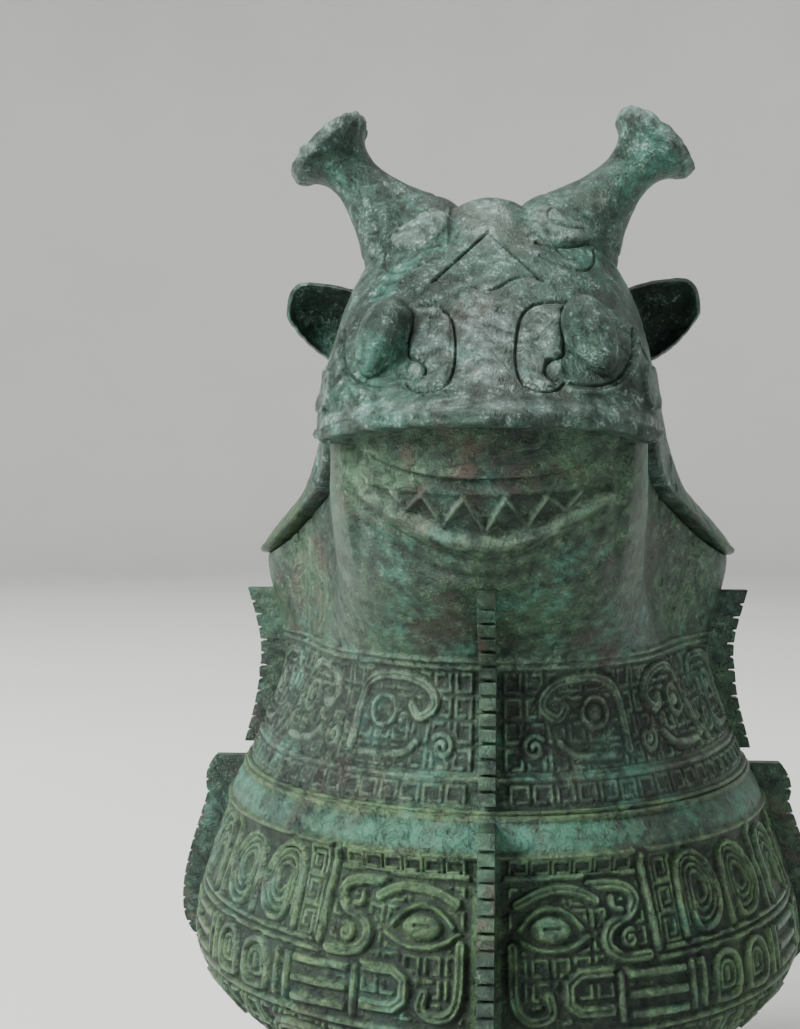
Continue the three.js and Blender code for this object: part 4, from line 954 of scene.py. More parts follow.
def place(piece, matrix):
    """Moves a piece by a matrix in millimetres from the widest line, and keeps the place in its mesh."""
    moved = Matrix.Translation((0, MIDDLE_SHIFT * MM, 0)) @ Matrix.Scale(MM, 4) @ matrix
    piece.data.transform(moved)
    piece.data.update()
    return piece


def standing(position, direction):
    """Place of a thing whose own +Y points along a direction."""
    turn = Vector((0, 1, 0)).rotation_difference(Vector(direction).normalized())
    return Matrix.Translation(position) @ turn.to_matrix().to_4x4()


def hand_over(piece, body, nodes, material):
    """Gives a piece its material and its body, and hides the solids that it stands for."""
    piece.data.materials.clear()
    piece.data.materials.append(bpy.data.materials[material])
    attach(piece, body)
    if nodes:
        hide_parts(*nodes)


# Materials

def new_group(name, inputs, outputs):
    """An empty shader group with named sockets."""
    group = bpy.data.node_groups.new(name, "ShaderNodeTree")
    for label, kind, default in inputs:
        socket = group.interface.new_socket(label, in_out="INPUT", socket_type=kind)
        socket.default_value = default
    for label, kind in outputs:
        group.interface.new_socket(label, in_out="OUTPUT", socket_type=kind)
    return group


class Wiring:
    """Adds nodes to a tree and links them. Values can be sockets or plain numbers."""

    # Sockets of the mix node when it mixes colours
    MIX_FIRST = 6
    MIX_SECOND = 7
    MIX_RESULT = 2

    def __init__(self, tree):
        self.tree = tree

    def node(self, kind, **settings):
        made = self.tree.nodes.new(kind)
        for key, value in settings.items():
            setattr(made, key, value)
        return made

    def link(self, source, target):
        if isinstance(source, (int, float, tuple)):
            target.default_value = source
        else:
            self.tree.links.new(source, target)

    def noise(self, coordinates, scale, detail=6, roughness=0.6, distortion=0.0):
        made = self.node("ShaderNodeTexNoise")
        self.link(coordinates, made.inputs["Vector"])
        numbers = {"Scale": scale, "Detail": detail, "Roughness": roughness, "Distortion": distortion}
        for label, number in numbers.items():
            self.link(float(number), made.inputs[label])
        return made.outputs["Fac"]

    def moved(self, coordinates, offset):
        made = self.node("ShaderNodeMapping")
        self.link(coordinates, made.inputs["Vector"])
        made.inputs["Location"].default_value = offset
        return made.outputs["Vector"]

    def math(self, operation, a, b=0.0, clamp=False):
        made = self.node("ShaderNodeMath", operation=operation, use_clamp=clamp)
        self.link(a, made.inputs[0])
        self.link(b, made.inputs[1])
        return made.outputs[0]

    def times(self, a, b, clamp=False):
        return self.math("MULTIPLY", a, b, clamp)

    def plus(self, a, b, clamp=False):
        return self.math("ADD", a, b, clamp)

    def most(self, a, b):
        return self.math("MAXIMUM", a, b)

    def span(self, value, low, high, to_low=0.0, to_high=1.0):
        made = self.node("ShaderNodeMapRange", interpolation_type="SMOOTHSTEP")
        self.link(value, made.inputs["Value"])
        numbers = {"From Min": low, "From Max": high, "To Min": to_low, "To Max": to_high}
        for label, number in numbers.items():
            self.link(number, made.inputs[label])
        return made.outputs["Result"]

    def blend(self, share, a, b):
        made = self.node("ShaderNodeMix", data_type="RGBA")
        self.link(share, made.inputs["Factor"])
        self.link(a, made.inputs[self.MIX_FIRST])
        self.link(b, made.inputs[self.MIX_SECOND])
        return made.outputs[self.MIX_RESULT]


def new_material(name):
    """A material, given as its wiring and the inputs of its shader."""
    material = bpy.data.materials.new(name)
    material.use_nodes = True
    return Wiring(material.node_tree), material.node_tree.nodes["Principled BSDF"].inputs


def patina_group():
    """Colour, roughness and fine height of corroded bronze, with painted shade in the grooves and painted
    highlights on rubbed edges.
    """
    colours = bpy.context.scene.guang_patina
    shares = [(label, "NodeSocketFloat", 0.5) for label in PATINA_SHARES]
    shares += [(label, "NodeSocketFloat", 0.0) for label in KEPT_VALUES]
    group = new_group("patina", shares, [("Color", "NodeSocketColor"), ("Roughness", "NodeSocketFloat"),
                                         ("Height", "NodeSocketFloat")])
    wire = Wiring(group)
    given = wire.node("NodeGroupInput").outputs
    spots = wire.node("ShaderNodeTexCoord").outputs["Object"]
    cloud = wire.noise(spots, 38, detail=5, roughness=0.6, distortion=0.3)
    patch = wire.noise(wire.moved(spots, (0.31, 0.17, 0.05)), 60, detail=8, roughness=0.7, distortion=0.4)
    rust = wire.noise(wire.moved(spots, (0.11, 0.53, 0.29)), 48, detail=8, roughness=0.72, distortion=0.5)
    drift = wire.noise(wire.moved(spots, (0.23, 0.09, 0.61)), 24, detail=4, roughness=0.6)
    ridge = wire.noise(wire.moved(spots, (0.07, 0.41, 0.13)), 190, detail=7, roughness=0.6, distortion=0.7)
    mottle = wire.noise(spots, 330, detail=8, roughness=0.68)
    speck = wire.noise(spots, 1700, detail=5, roughness=0.65)
    crack = wire.span(wire.math("ABSOLUTE", wire.math("SUBTRACT", ridge, 0.5)), 0.003, 0.024, 1.0, 0.0)
    yellowed = wire.times(wire.span(drift, 0.3, 0.55), given["Olive"], clamp=True)
    sound = wire.blend(yellowed, (*colours.green, 1), (*colours.olive, 1))
    tone = wire.plus(wire.times(mottle, 0.55), wire.times(cloud, 0.45))
    base = wire.blend(wire.span(tone, 0.4, 0.62), (*colours.dark, 1), sound)
    crust = wire.times(wire.span(patch, 0.52, 0.64), given["Malachite"], clamp=True)
    cloudy = wire.span(cloud, 0.36, 0.6, 0.1, 0.75)
    crust = wire.most(crust, wire.times(given["Crust"], cloudy))
    crust = wire.times(crust, wire.span(mottle, 0.3, 0.58))
    greened = wire.blend(crust, base, (*colours.malachite, 1))
    brown = wire.times(wire.span(rust, 0.53, 0.63), given["Cuprite"], clamp=True)
    rusted = wire.blend(brown, greened, (*colours.cuprite, 1))
    # Painted shade and dirt: sunk ground and grooves darkened as soil and as painted shade, cracks and
    # specks as dirt
    soil_and_shade = wire.most(wire.times(given["Sunk"], 0.72), wire.times(crack, 0.2))
    soil_and_shade = wire.most(soil_and_shade, wire.span(speck, 0.34, 0.45, 0.55, 0.0))
    soiled_and_shaded = wire.blend(soil_and_shade, rusted, (*colours.soil_and_shade_colour, 1))
    # Rubbed edges and painted highlights: pale flecks and the worn tops of raised lines, whitened as
    # painted highlights
    flecks = wire.plus(wire.times(speck, 0.6), wire.times(mottle, 0.6))
    rub_and_highlight = wire.times(wire.span(flecks, 0.64, 0.75), given["Pale"], clamp=True)
    worn_and_highlit = wire.times(given["Raised"], wire.span(mottle, 0.3, 0.7))
    rub_and_highlight = wire.plus(rub_and_highlight, wire.times(worn_and_highlit, 0.32), clamp=True)
    edges = wire.blend(given["Olive"], (*colours.pale, 1), (*colours.moss, 1))
    shown = wire.blend(rub_and_highlight, soiled_and_shaded, edges)
    rough = wire.plus(0.2, wire.times(mottle, 0.3))
    rough = wire.plus(rough, wire.times(crust, 0.18))
    rough = wire.plus(rough, wire.times(given["Sunk"], 0.2), clamp=True)
    fine = wire.noise(spots, 3400, detail=3, roughness=0.6)
    grain = wire.plus(wire.times(mottle, 0.62), wire.times(speck, 0.42))
    grain = wire.plus(grain, wire.times(fine, 0.12))
    grain = wire.math("SUBTRACT", grain, wire.times(crack, 0.2))
    out = wire.node("NodeGroupOutput").inputs
    wire.link(shown, out["Color"])
    wire.link(rough, out["Roughness"])
    wire.link(grain, out["Height"])


def bronze_material(name, shares, bump):
    """Bronze with its own shares of crust, brown, rubbed edges with painted highlights, and yellower green.
    """
    wire, surface = new_material(name)
    skin = wire.node("ShaderNodeGroup", node_tree=bpy.data.node_groups["patina"])
    for label, share in zip(PATINA_SHARES, shares):
        skin.inputs[label].default_value = share
    for label in KEPT_VALUES:
        kept = wire.node("ShaderNodeAttribute", attribute_name=label.lower())
        wire.link(kept.outputs["Fac"], skin.inputs[label])
    rise = wire.node("ShaderNodeBump")
    rise.inputs["Strength"].default_value = BUMP_STRENGTH
    rise.inputs["Distance"].default_value = bump
    wire.link(skin.outputs["Height"], rise.inputs["Height"])
    wire.link(skin.outputs["Color"], surface["Base Color"])
    wire.link(skin.outputs["Roughness"], surface["Roughness"])
    wire.link(rise.outputs["Normal"], surface["Normal"])
    surface["Metallic"].default_value = BRONZE_METALLIC


def clay_material():
    """Fired clay with sand and dark specks."""
    wire, surface = new_material("clay_core")
    clay = bpy.context.scene.guang_patina.clay
    spots = wire.node("ShaderNodeTexCoord").outputs["Object"]
    sand = wire.noise(spots, 900, detail=6)
    cloud = wire.noise(spots, 120, detail=4)
    dark = tuple(CLAY_DIMMED * part for part in clay)
    shade = wire.blend(wire.span(cloud, 0.35, 0.65), (*clay, 1), (*dark, 1))
    shade = wire.blend(wire.span(sand, 0.6, 0.72, 0.0, 0.6), shade, SAND_COLOUR)
    rise = wire.node("ShaderNodeBump")
    rise.inputs["Distance"].default_value = CLAY_BUMP_HEIGHT
    wire.link(sand, rise.inputs["Height"])
    wire.link(shade, surface["Base Color"])
    wire.link(wire.span(sand, 0.3, 0.7, 0.8, 0.95), surface["Roughness"])
    wire.link(rise.outputs["Normal"], surface["Normal"])


def floor_material():
    """Pale matt floor with a faint mottle."""
    wire, surface = new_material("pale_floor")
    colour = bpy.context.scene.guang_stage.floor
    spots = wire.node("ShaderNodeTexCoord").outputs["Object"]
    cloud = wire.noise(spots, 3, detail=3)
    dim = tuple(FLOOR_DIMMED * part for part in colour)
    wire.link(wire.blend(wire.span(cloud, 0.3, 0.7), (*colour, 1), (*dim, 1)), surface["Base Color"])
    surface["Roughness"].default_value = FLOOR_ROUGHNESS


# Ornament of the vessel

def belly_ornament(carving):
    """Half a mask beside the front flange, its body behind in two registers, and large hooks below."""
    right = BELLY_QUARTER - 3
    level_height = 0.9
    levels = ((81.6, 0), (80.2, 0), (72.6, 0), (53.4, 36), (51.6, 36), (39.2, 0), (10.2, 0), (8.6, 0))
    for level, first in levels:
        carving.line([(first, level), (BELLY_QUARTER, level)], 1.0, level_height)
    carving.crust = ramp((carving.up - 73) / 1.5) * ramp((80 - carving.up) / 1.5)
    carving.ground(3, right, 11, 72)
    carving.spirals(4, 34, 41, 67, 4.5, 1.4)
    low = 54
    carving.line(raised_by([(4, 14.4), (33, 14.4)], low), 1.1, level_height)
    for step in range(6):
        left = 4.8 + 4.7 * step
        carving.line(square_spiral(left, low + 15.4, left + 3.7, low + 17.7, 1.1), 0.55)
    hook = [(22, 12.6), (29.6, 12.4), (32.6, 9.6), (30, 6), (25.6, 5), (24, 1.8), (27, -1.4), (33.4, -1.4)]
    carving.bold(soften(raised_by(hook, low)))
    carving.plain(soften(raised_by([(26.6, 10), (26.6, 8), (28.6, 7.6)], low)), 1.1)
    carving.plain(round_spiral((29.6, low + 2), 1.9, 1.3, 60), 0.9)
    carving.plain(raised_by([(36, -0.4), (34.8, 17.6)], low), 1.4)
    for bottom in (0.4, 6.3, 12.2):
        carving.line(square_spiral(37.4, low + bottom, 42.4, low + bottom + 5.3, 1.25), 0.62)
    curls = (
        ([(43.9, 0.8), (43.9, 13.6), (47, 17.4), (52.8, 16), (56.6, 10), (56, 4), (52, 0.8), (47.8, 1.4),
          (47, 4.4)], (50.4, 9.6)),
        ([(59, 0.8), (59, 13), (62.4, 17), (69, 15), (73.2, 9), (72, 3.4), (67.6, 0.8), (63, 1.4),
          (62.2, 4)], (66, 9)),
        ([(80, 1), (80, 13), (86.5, 17.2), (93, 13), (93, 1)], (86.5, 5)),
        ([(97.4, 1), (97.4, 13), (103.9, 17.2), (110.4, 13), (110.4, 1)], (103.9, 5)),
    )
    for points, centre in curls:
        points = raised_by(points, low)
        centre = (centre[0], centre[1] + low)
        carving.plain(soften(points), 1.2)
        for share in (0.79, 0.58, 0.38):
            carving.line(soften(nested(points, centre, share)), 0.75)
    carving.line(raised_by([(76.2, 0), (76.2, 17.6)], low), 1.2, level_height)
    carving.bold(soften(raised_by([(23, 9.8), (18.6, 12.2), (12, 12.2), (6, 9.4)], low)), 1.8)
    carving.clear(raised_by([(9, 4.6), (17, 4.6)], low), 7)
    carving.area(oval((13, low + 4.8), 4.2, 2.7), 1.8, 2.4)
    carving.groove(raised_by([(11.4, 4.8), (14.6, 4.8)], low), 0.5, 0.9)
    for lid in ([(5.4, 3.4), (9, 7.8), (13, 9), (17, 7.8), (20.6, 3.2)],
                [(5.4, 3.4), (9.6, 1.2), (14, 0.6), (18, 1.6), (20.6, 3.2)]):
        carving.plain(soften(raised_by(lid, low)), 0.9)
    carving.bold(soften([(5, 55.6), (5, 45), (8, 41.8), (13, 43), (12, 46.6)]), 1.9)
    carving.bold(soften([(25.4, 50.4), (16, 50.4), (16, 43.4), (24.6, 43.4)], 1), 1.9)
    low = 40.4
    for near, far in ((9.2, 8.6), (5.4, 4.8), (1.8, 1.2)):
        carving.plain([(28, low + near), (43.6, low + far)], 1.5)
        carving.plain([(75.4, low + far), (90, low + far)], 1.5)
    for across in (26.6, 43.6, 46.6, 72.6, 75.4, 93):
        carving.plain(raised_by([(across, 1), (across, 9.4)], low), 1.2)
    for middle in (54, 65.4, 99, 109.6):
        loop = shifted([(-4, 1), (-4, 8), (0, 10), (4, 8), (4, 1), (0, 0.4), (-4, 1)], middle, low)
        carving.plain(soften(loop), 1.3)
        carving.line(soften(nested(loop, (middle, low + 5.2), 0.55), 1), 0.8)
        carving.line(raised_by([(middle, 4), (middle, 6.4)], low), 0.8)
    low = 11.8
    carving.spirals(4, right - 1, low, 38.2, 6, 1.7)
    hooks = (
        [(50, 2), (50, 20), (46, 23.4), (34, 23.4), (30, 18.6), (35, 14.6), (40, 16)],
        [(20, 1.6), (20, 19), (15, 23), (8, 18), (11, 14)],
        [(88, 2), (88, 20), (84, 23.4), (72, 23.4), (68, 18.6), (73, 14.6), (78, 16)],
        [(108, 2), (108, 19), (103, 23), (96, 18), (99, 14)],
    )
    for points in hooks:
        carving.bold(soften(raised_by(points, low)), 2.4)


def neck_ornament(carving):
    """A row of small spirals over the band, and a worn frieze of curling bodies on fine spirals above."""
    width = NECK_QUARTER
    for level in (5.6, 27.4, 28.9):
        carving.line([(0, level), (width, level)], 0.9, 0.8)
    carving.spirals(4, width - 4, 0.7, 4.9, 4.9, 1.3)
    low, high = 6.8, 26.6
    carving.spirals(3, width - 3, low, high, 5, 1.5)
    low = 7.2
    for middle, hand in ((84, 1), (52, -1), (22, 1)):
        eye = (middle + 3.6, low + 10.6)
        carving.clear([(eye[0] - 0.6, eye[1]), (eye[0] + 0.6, eye[1])], 6)
        carving.area(oval(eye, 2.0, 1.7), 1.2, 1.6)
        carving.plain(oval(eye, 3.4, 3.0), 0.9)
        body = [(11.5, 3), (11.5, 14), (6, 18), (-6, 17.6), (-11, 12.6), (-6, 9), (-4, 12)]
        carving.bold(soften(shifted(body, middle, low)), 1.8)
        carving.plain(soften(shifted([(8, 2), (-3, 2), (-6, 5)], middle, low)), 1.4)
        carving.plain(round_spiral((middle - 12, low + 4.2), 2.6, 1.4, 40, hand), 1.0)


def jaw_line(share, middle, rise, power):
    """A line of the jaw from corner to corner in the front view."""
    return np.stack([JAW_CORNER * share, middle + rise * np.abs(share) ** power], axis=1)


def jaw_ornament(carving, y):
    """The beast's lower jaw: a full lip and thin triangular teeth, drawn in the front view."""
    share = np.linspace(-1, 1, 41)
    lip, upper, under = (jaw_line(share, *sizes) for sizes in (JAW_LIP, JAW_UPPER, JAW_UNDER))
    kept = carving.across
    carving.across = np.where(y.ravel() < MOUTH_END_Y, carving.across, OFF_SHEET)
    where = carving.box((-JAW_CORNER, lip[:, 1].min()), (JAW_CORNER, upper[:, 1].max()))
    low = np.interp(carving.across[where], lip[:, 0], lip[:, 1])
    high = np.interp(carving.across[where], upper[:, 0], upper[:, 1])
    inside = ramp((carving.up[where] - low) / 2.4) * ramp((high - carving.up[where]) / 1.2)
    carving.height[where] *= 1 - inside
    carving.depth[where] = np.maximum(carving.depth[where], 0.6 * inside)
    edge = carving.edge
    carving.edge = 2.2
    carving.line(lip, 2.2, 1.3)
    carving.edge = 0.8
    marks = [-mark for mark in reversed(TOOTH_MARKS)] + [0, *TOOTH_MARKS]
    line = []
    for index, across in enumerate(marks):
        low = np.interp(across, lip[:, 0], lip[:, 1]) + 2
        high = np.interp(across, upper[:, 0], upper[:, 1]) - 1
        line.append((across, low if index % 2 else high))
    carving.line(line, 0.8, 1.1)
    carving.edge = edge
    carving.groove(lip - (0, 3.2), 0.7, 0.35)
    # A soft wide crease under the jaw, which the groove tint darkens as a painted shadow under the jaw
    carving.edge = 3
    carving.groove(under, 0.8, 0.8)
    carving.edge = edge
    carving.across = kept


def foot_ornament(carving):
    """A frieze of long bodies with hooked tails on small spirals, between plain lines."""
    width = FOOT_QUARTER
    for level in (3.2, 5.2, 25.6):
        carving.line([(0, level), (width, level)], 1.3)
    low, high = 6.4, 24.6
    carving.spirals(3, width - 3, low, high, 6.1, 1.75)
    for middle in (60, 22):
        eye = (middle + 9, low + 11)
        carving.clear([eye, (eye[0] + 0.1, eye[1])], 9)
        carving.area(oval(eye, 2.4, 2.2), 1.6, 2.0)
        carving.bold(oval(eye, 4.2, 3.8), 1.4)
        for body in ([(15, 4), (15, 14), (10, 16.8), (-6, 16.4), (-15, 13), (-15, 8), (-9, 8)],
                     [(12, 1.6), (-4, 2), (-12, 3.6), (-4, 8.4), (3, 8)]):
            carving.bold(soften(shifted(body, middle, low)))


# Ornament of the lid

def face_ornament(carving, y):
    """Brows, scrolls beside the eyes, cheek drops and the diamond on the forehead, in the front view."""
    y = y.ravel()
    carving.across = np.where(y < CROWN_Y + 14, carving.across, OFF_SHEET)
    keel = np.exp(-(carving.across / 5) ** 2)
    carving.height += 1.1 * keel * ramp((carving.up - LIP_Z - 1) / 8) * ramp((206 - carving.up) / 12)
    crown = ramp((carving.up - 208) / 8) * ramp((HEAD_BACK - y) / 6)
    carving.height += 0.7 * np.exp(-(carving.across / 4) ** 2) * crown
    carving.height -= 0.8 * np.exp(-((carving.across - 7.4) / 2.2) ** 2) * crown
    carving.area([(13.8, 198.6), (8.8, 198.4), (6.6, 196), (6.2, 188), (7, 184), (10, 182.6), (12.6, 182.8),
                  (10.4, 185.2), (10.9, 187.9), (13.9, 188.9)], 0.5, 0.8)
    brow = [(31.3, 187.4), (28, 193), (21, 198.2), (15.7, 199.6), (9.9, 199.4), (6.8, 197.6), (5.7, 193.6),
            (5.3, 188), (6.2, 183.4), (9.9, 181.7), (13.1, 182.1), (14.2, 183.4)]
    carving.groove(soften(brow), 0.4, 0.75)
    carving.groove(soften([(14.4, 198.4), (14.4, 190), (14.2, 188.4), (11.3, 187.8), (10.5, 185.6),
                           (11.8, 184), (13.3, 184.1)]), 0.35, 0.7)
    carving.area(oval((12.6, 186), 1.4, 1.3), 0.8, 1.1)
    carving.groove(soften([(27.6, 195), (27.2, 189), (24.6, 184.6), (20, 182.8), (15.4, 183.6)]), 0.4, 0.7)
    carving.line(soften([(28.8, 194), (28.4, 188.2), (25.4, 183.4), (20, 181.4), (15, 182.4)]), 0.7, 0.35)
    carving.line(oval((31.2, 183.4), 1.5, 4.4, 5), 0.6, 0.6)
    carving.groove([(0, 214.5), (5.2, 209.4), (10.6, 204)], 0.4, 0.9)
    carving.groove(soften([(10.6, 204), (8.2, 205.2), (5, 204.6), (2.4, 202.6), (0, 201.4)]), 0.4, 0.7)
    carving.groove(soften([(9.4, 212.6), (13, 211.4), (18, 212), (22.4, 214.4)]), 0.5, 0.8)
    carving.groove(soften([(10, 209.6), (14, 207.4), (18.6, 206), (21, 208.6), (20.6, 211.6)]), 0.4, 0.7)
    carving.groove(soften([(13.4, 211), (15.4, 209), (17.6, 208.8)]), 0.4, 0.6)
    carving.area(oval((15, 217), 7, 4.4, -8), 1.9, 3.4)
    carving.groove(oval((15.6, 217.2), 4.4, 2.5, -8), 0.35, 0.45)


def roof_ornament(carving):
    """A scaled body along the ridge and hooks on the flanks: along the lid, and down from its ridge."""
    first, last = NAPE_Y - 6, 50
    for step in range(8):
        start = -19 + 9 * step
        carving.line(soften([(start, 5), (start + 5.6, 10), (start, 15)]), 1.5, carving.bold_height)
        carving.line(soften([(start - 3, 6.4), (start + 1.4, 10), (start - 3, 13.6)]), 1.0)
    carving.line([(first, 17), (last, 17)], 1.5, carving.bold_height)
    carving.line([(first, 18.9), (last, 18.9)], 0.9)
    carving.line([(first, 43.4), (last, 43.4)], 1.2)
    carving.spirals(first, last, 20, 42.6, 6.6, 1.9)
    for middle in (-4, 30):
        for body in ([(14, 22), (14, 35), (8, 40), (-6, 39.4), (-12, 33), (-6, 27), (-3, 31)],
                     [(9, 21.6), (-2, 21.4), (-12, 21.8)]):
            carving.bold(soften(shifted(body, middle, 0)))
        eye = (middle + 6, 30.6)
        carving.clear([(eye[0] - 1, eye[1]), (eye[0] + 1, eye[1])], 8)
        carving.area(oval(eye, 2.8, 2.4), 1.7, 2.2)
        carving.plain(oval(eye, 4.8, 4.2), 1.3)


def rear_mask_ornament(carving, y):
    """The mask on the lid's rear end, by width and rise from the edge: brows, nose and jaw hooks."""
    y = y.ravel()
    edge = RIM_LINE[-1][1]
    carving.across = np.where(y > REAR_MASK_Y, carving.across, OFF_SHEET)
    carving.up = edge + 0.9 * np.hypot(LID_BACK - y, carving.up - edge)
    carving.bold(soften([(5, 183), (12, 184.6), (20, 182), (26, 175)]))
    carving.groove(oval((15, 174.6), 6.6, 6), 0.6, 0.6)
    carving.bold(soften([(3, 183), (3.6, 172), (5.6, 165), (9.4, 166)]))
    carving.bold(soften([(13, 164), (20, 165), (27, 171), (30, 166), (26, 160)]))
    carving.plain(round_spiral((33.5, 161.5), 3.6, 1.4, 150), 1.6)
    carving.plain(round_spiral((19, 170.6), 2.6, 1.2, 150), 1.3)
    carving.line([(0, 157.5), (40, 157.5)], 1.2)


# Pieces of the vessel

def even_heights(low, high, count):
    """Heights at even steps along the side of the vessel, and how far along the side each one is."""
    z = np.linspace(low, high, OUTLINE_SAMPLES)
    side = np.array([level_outline(height)["half_width"] for height in z])
    length = run_length(np.hypot(np.diff(z), np.diff(side)))
    along = np.linspace(0, length[-1], count + 1)
    return np.interp(along, length, z), along


def quarter_shares(columns, back, side):
    """Shares round a quarter of the wall, from -1 or 0 at one end to 0 or 1 at the other."""
    first = 0 if (side > 0) != back else -1
    return np.linspace(first, first + 1, columns + 1)


def belly_quarter(name, label, side):
    """A quarter of the lower bowl with its bottom, its ornament and the plain band."""
    back = label == "back"
    t = quarter_shares(BELLY_COLUMNS[label], back, side)
    heights, along = even_heights(FOOT_TOP, BAND_TOP, BELLY_ROWS[label])
    x, y = half_ring(t, heights, back)
    wall = np.stack([x, y, np.broadcast_to(heights[:, None], x.shape)], axis=2)
    up = np.concatenate([np.full(BOTTOM_ROWS, OFF_SHEET), along])[:, None]
    carving = Carving(np.abs(t)[None, :] * BELLY_QUARTER, up)
    belly_ornament(carving)
    return weld(laid_sheet(name, np.concatenate([floor_of(wall), wall]), carving))


def behind_cheeks(wall):
    """Sets the beast's mouth a step behind the edges of its cheeks, less and less towards the throat."""
    x, y, z = wall[..., 0], wall[..., 1], wall[..., 2]
    cheek = np.interp(z, CHEEK_HEIGHTS, CHEEK_HALF_WIDTHS)
    within = ramp((cheek - np.abs(x)) / CHEEK_EDGE + 0.5) * ramp((z - CHEEK_LOW) / CHEEK_FADE)
    step = CHEEK_STEP * within * (y < MOUTH_END_Y)
    return wall - sheet_normals(wall) * step[..., None]


def neck_quarter(name, label, side):
    """A quarter of the neck from the plain band to the rim, with half of the lower jaw at the front."""
    back = label == "back"
    t = quarter_shares(NECK_COLUMNS[label], back, side)
    levels = np.linspace(BAND_TOP, LIP_Z, NECK_LEVELS)
    outer = half_ring(t, levels, back)
    top = rim_levels(levels, outer[1])
    z = mix(BAND_TOP, top, np.linspace(0, 1, NECK_ROWS[label] + 1)[:, None])
    wall = behind_cheeks(read_wall(outer, levels, z))
    inner = read_wall(half_ring(t, levels, back, -VESSEL_WALL), levels, top[None])
    edge = mix(wall[-1:], inner, np.linspace(0, 1, TURN_ROWS)[1:, None, None])
    points = np.concatenate([wall, edge])
    up = np.concatenate([z - BAND_TOP, np.full((len(edge), len(t)), OFF_SHEET)])
    carving = Carving(np.abs(t)[None, :] * NECK_QUARTER, up)
    neck_ornament(carving)
    kept = ramp(WORN_GAIN * lattice_noise(points, *WORN_NOISE) + WORN_SHIFT)
    carving.height *= mix(WORN_LEAST, 1, kept).ravel()
    if not back:
        carving.across = points[..., 0].ravel()
        carving.up = (up + BAND_TOP).ravel()
        jaw_ornament(carving, points[..., 1])
    return laid_sheet(name, points, carving)


def bowl_lining(name):
    """Inner wall and floor of the bowl."""
    quarter = np.linspace(-1, 1, PLAIN_COLUMNS // 2 + 1)
    levels = np.linspace(FOOT_TOP + VESSEL_FLOOR, LIP_Z, LINING_LEVELS)
    top = rim_levels(levels, whole_ring(quarter, levels)[1])
    z = mix(levels[0], top, np.linspace(0, 1, PLAIN_ROWS + 1)[:, None])
    wall = read_wall(whole_ring(quarter, levels, -VESSEL_WALL), levels, z)
    points = np.concatenate([floor_of(wall), wall])[:, ::-1]
    return weld(laid_sheet(name, points))


def foot_half(name, back):
    """Half of the foot ring, ornament outside and plain inside."""
    t = np.linspace(-1, 1, FOOT_COLUMNS + 1)
    angle = (t if back else t - 2) * np.pi / 2 + np.pi / 2
    top = FOOT_TOP - FOOT_GAP
    outer = np.linspace(0, top, FOOT_ROWS + 1)
    profile = [(z, 0) for z in outer]
    profile += [(top, -share * FOOT_WALL) for share in (0.5, 1)]
    profile += [(z, -FOOT_WALL) for z in np.linspace(top, 0, 12)[1:]]
    profile += [(0, -FOOT_WALL / 2), (0, 0)]
    rows = []
    for z, inset in profile:
        spread = FOOT_SPLAY * (1 - z / FOOT_TOP) ** 2 - FOOT_INSET + inset
        x = (FOOT_HALF_WIDTH + spread) * np.cos(angle)
        y = (FOOT_REACH + spread) * np.sin(angle)
        rows.append(np.stack([x, y, np.full_like(x, z)], axis=1))
    up = np.array([z if inset == 0 and index <= FOOT_ROWS else OFF_SHEET
                   for index, (z, inset) in enumerate(profile)])
    carving = Carving(np.abs(t)[None, :] * FOOT_QUARTER, up[:, None])
    foot_ornament(carving)
    piece = laid_sheet(name, np.array(rows), carving, WEATHERED["foot"])
    points = points_of(piece)
    points[:, 2] = np.maximum(points[:, 2], 0)
    set_points(piece, points)
    return weld(piece)


# Pieces of the lid

def lid_rows(front, back, count):
    """Places along the lid at even steps of its edge and its ridge together."""
    y = mix(front, back, (1 - np.cos(np.linspace(0, np.pi, OUTLINE_SAMPLES))) / 2)
    edge = np.hypot(np.diff(half_width(LID_EDGE, y)), np.diff(y))
    ridge = np.hypot(np.diff(crest_height(y)), np.diff(y))
    length = run_length(edge + ridge)
    return np.interp(np.linspace(0, length[-1], count + 1), length, y)


def lid_edge_height(y):
    """Lower edge of the lid's outer skin: the arched lip over the mouth, a rounded bead behind."""
    behind = ramp((y - MOUTH_CORNER_Y + CORNER_BLEND / 2) / CORNER_BLEND)
    droop = LIP_ARCH * np.clip((y - LID_FRONT) / (MOUTH_CORNER_Y - LID_FRONT), 0, 1) ** 2
    lip = LEDGE_Z + LIP_THICKNESS + LIP_LIFT - droop
    seat = rim_height(y) + LID_EDGE_GAP
    return mix(np.maximum(lip, seat), seat + LID_BEAD, behind)


def lid_skin(y_rows, shares, inset=0):
    """Points over the arches of the lid at given shares of the way across each one."""
    rows = []
    for y in y_rows:
        base = rim_height(y)
        rise = max(crest_height(y) - inset - base, LID_LEAST_RISE)
        edge = max(lid_edge_height(y), base + (SEAT_THICKNESS if inset else 0)) - base
        start = math.asin(min(max(edge / rise, 0), 0.999) ** (1 / roundness_at(y)))
        turn = np.linspace(start, np.pi - start, ARCH_SAMPLES)
        x, z = lid_arch(y, turn, inset)
        x, z = even_places(x, z, shares)
        rows.append(np.stack([x, np.full_like(x, y), z], axis=1))
    return np.array(rows)


def turned_edge(edge, out, shares):
    """Carries the skin's long edge round and inward: a thick lip over the mouth, a seat behind."""
    lip = np.array(LIP_TURN)
    seat = np.array(SEAT_TURN)
    offset = mix(seat[None], lip[None], shares[:, None, None])
    moved = edge[:, None, :].repeat(len(lip), axis=1)
    moved[..., :2] += out[:, None, :] * offset[..., :1]
    moved[..., 2] -= offset[..., 1]
    return moved


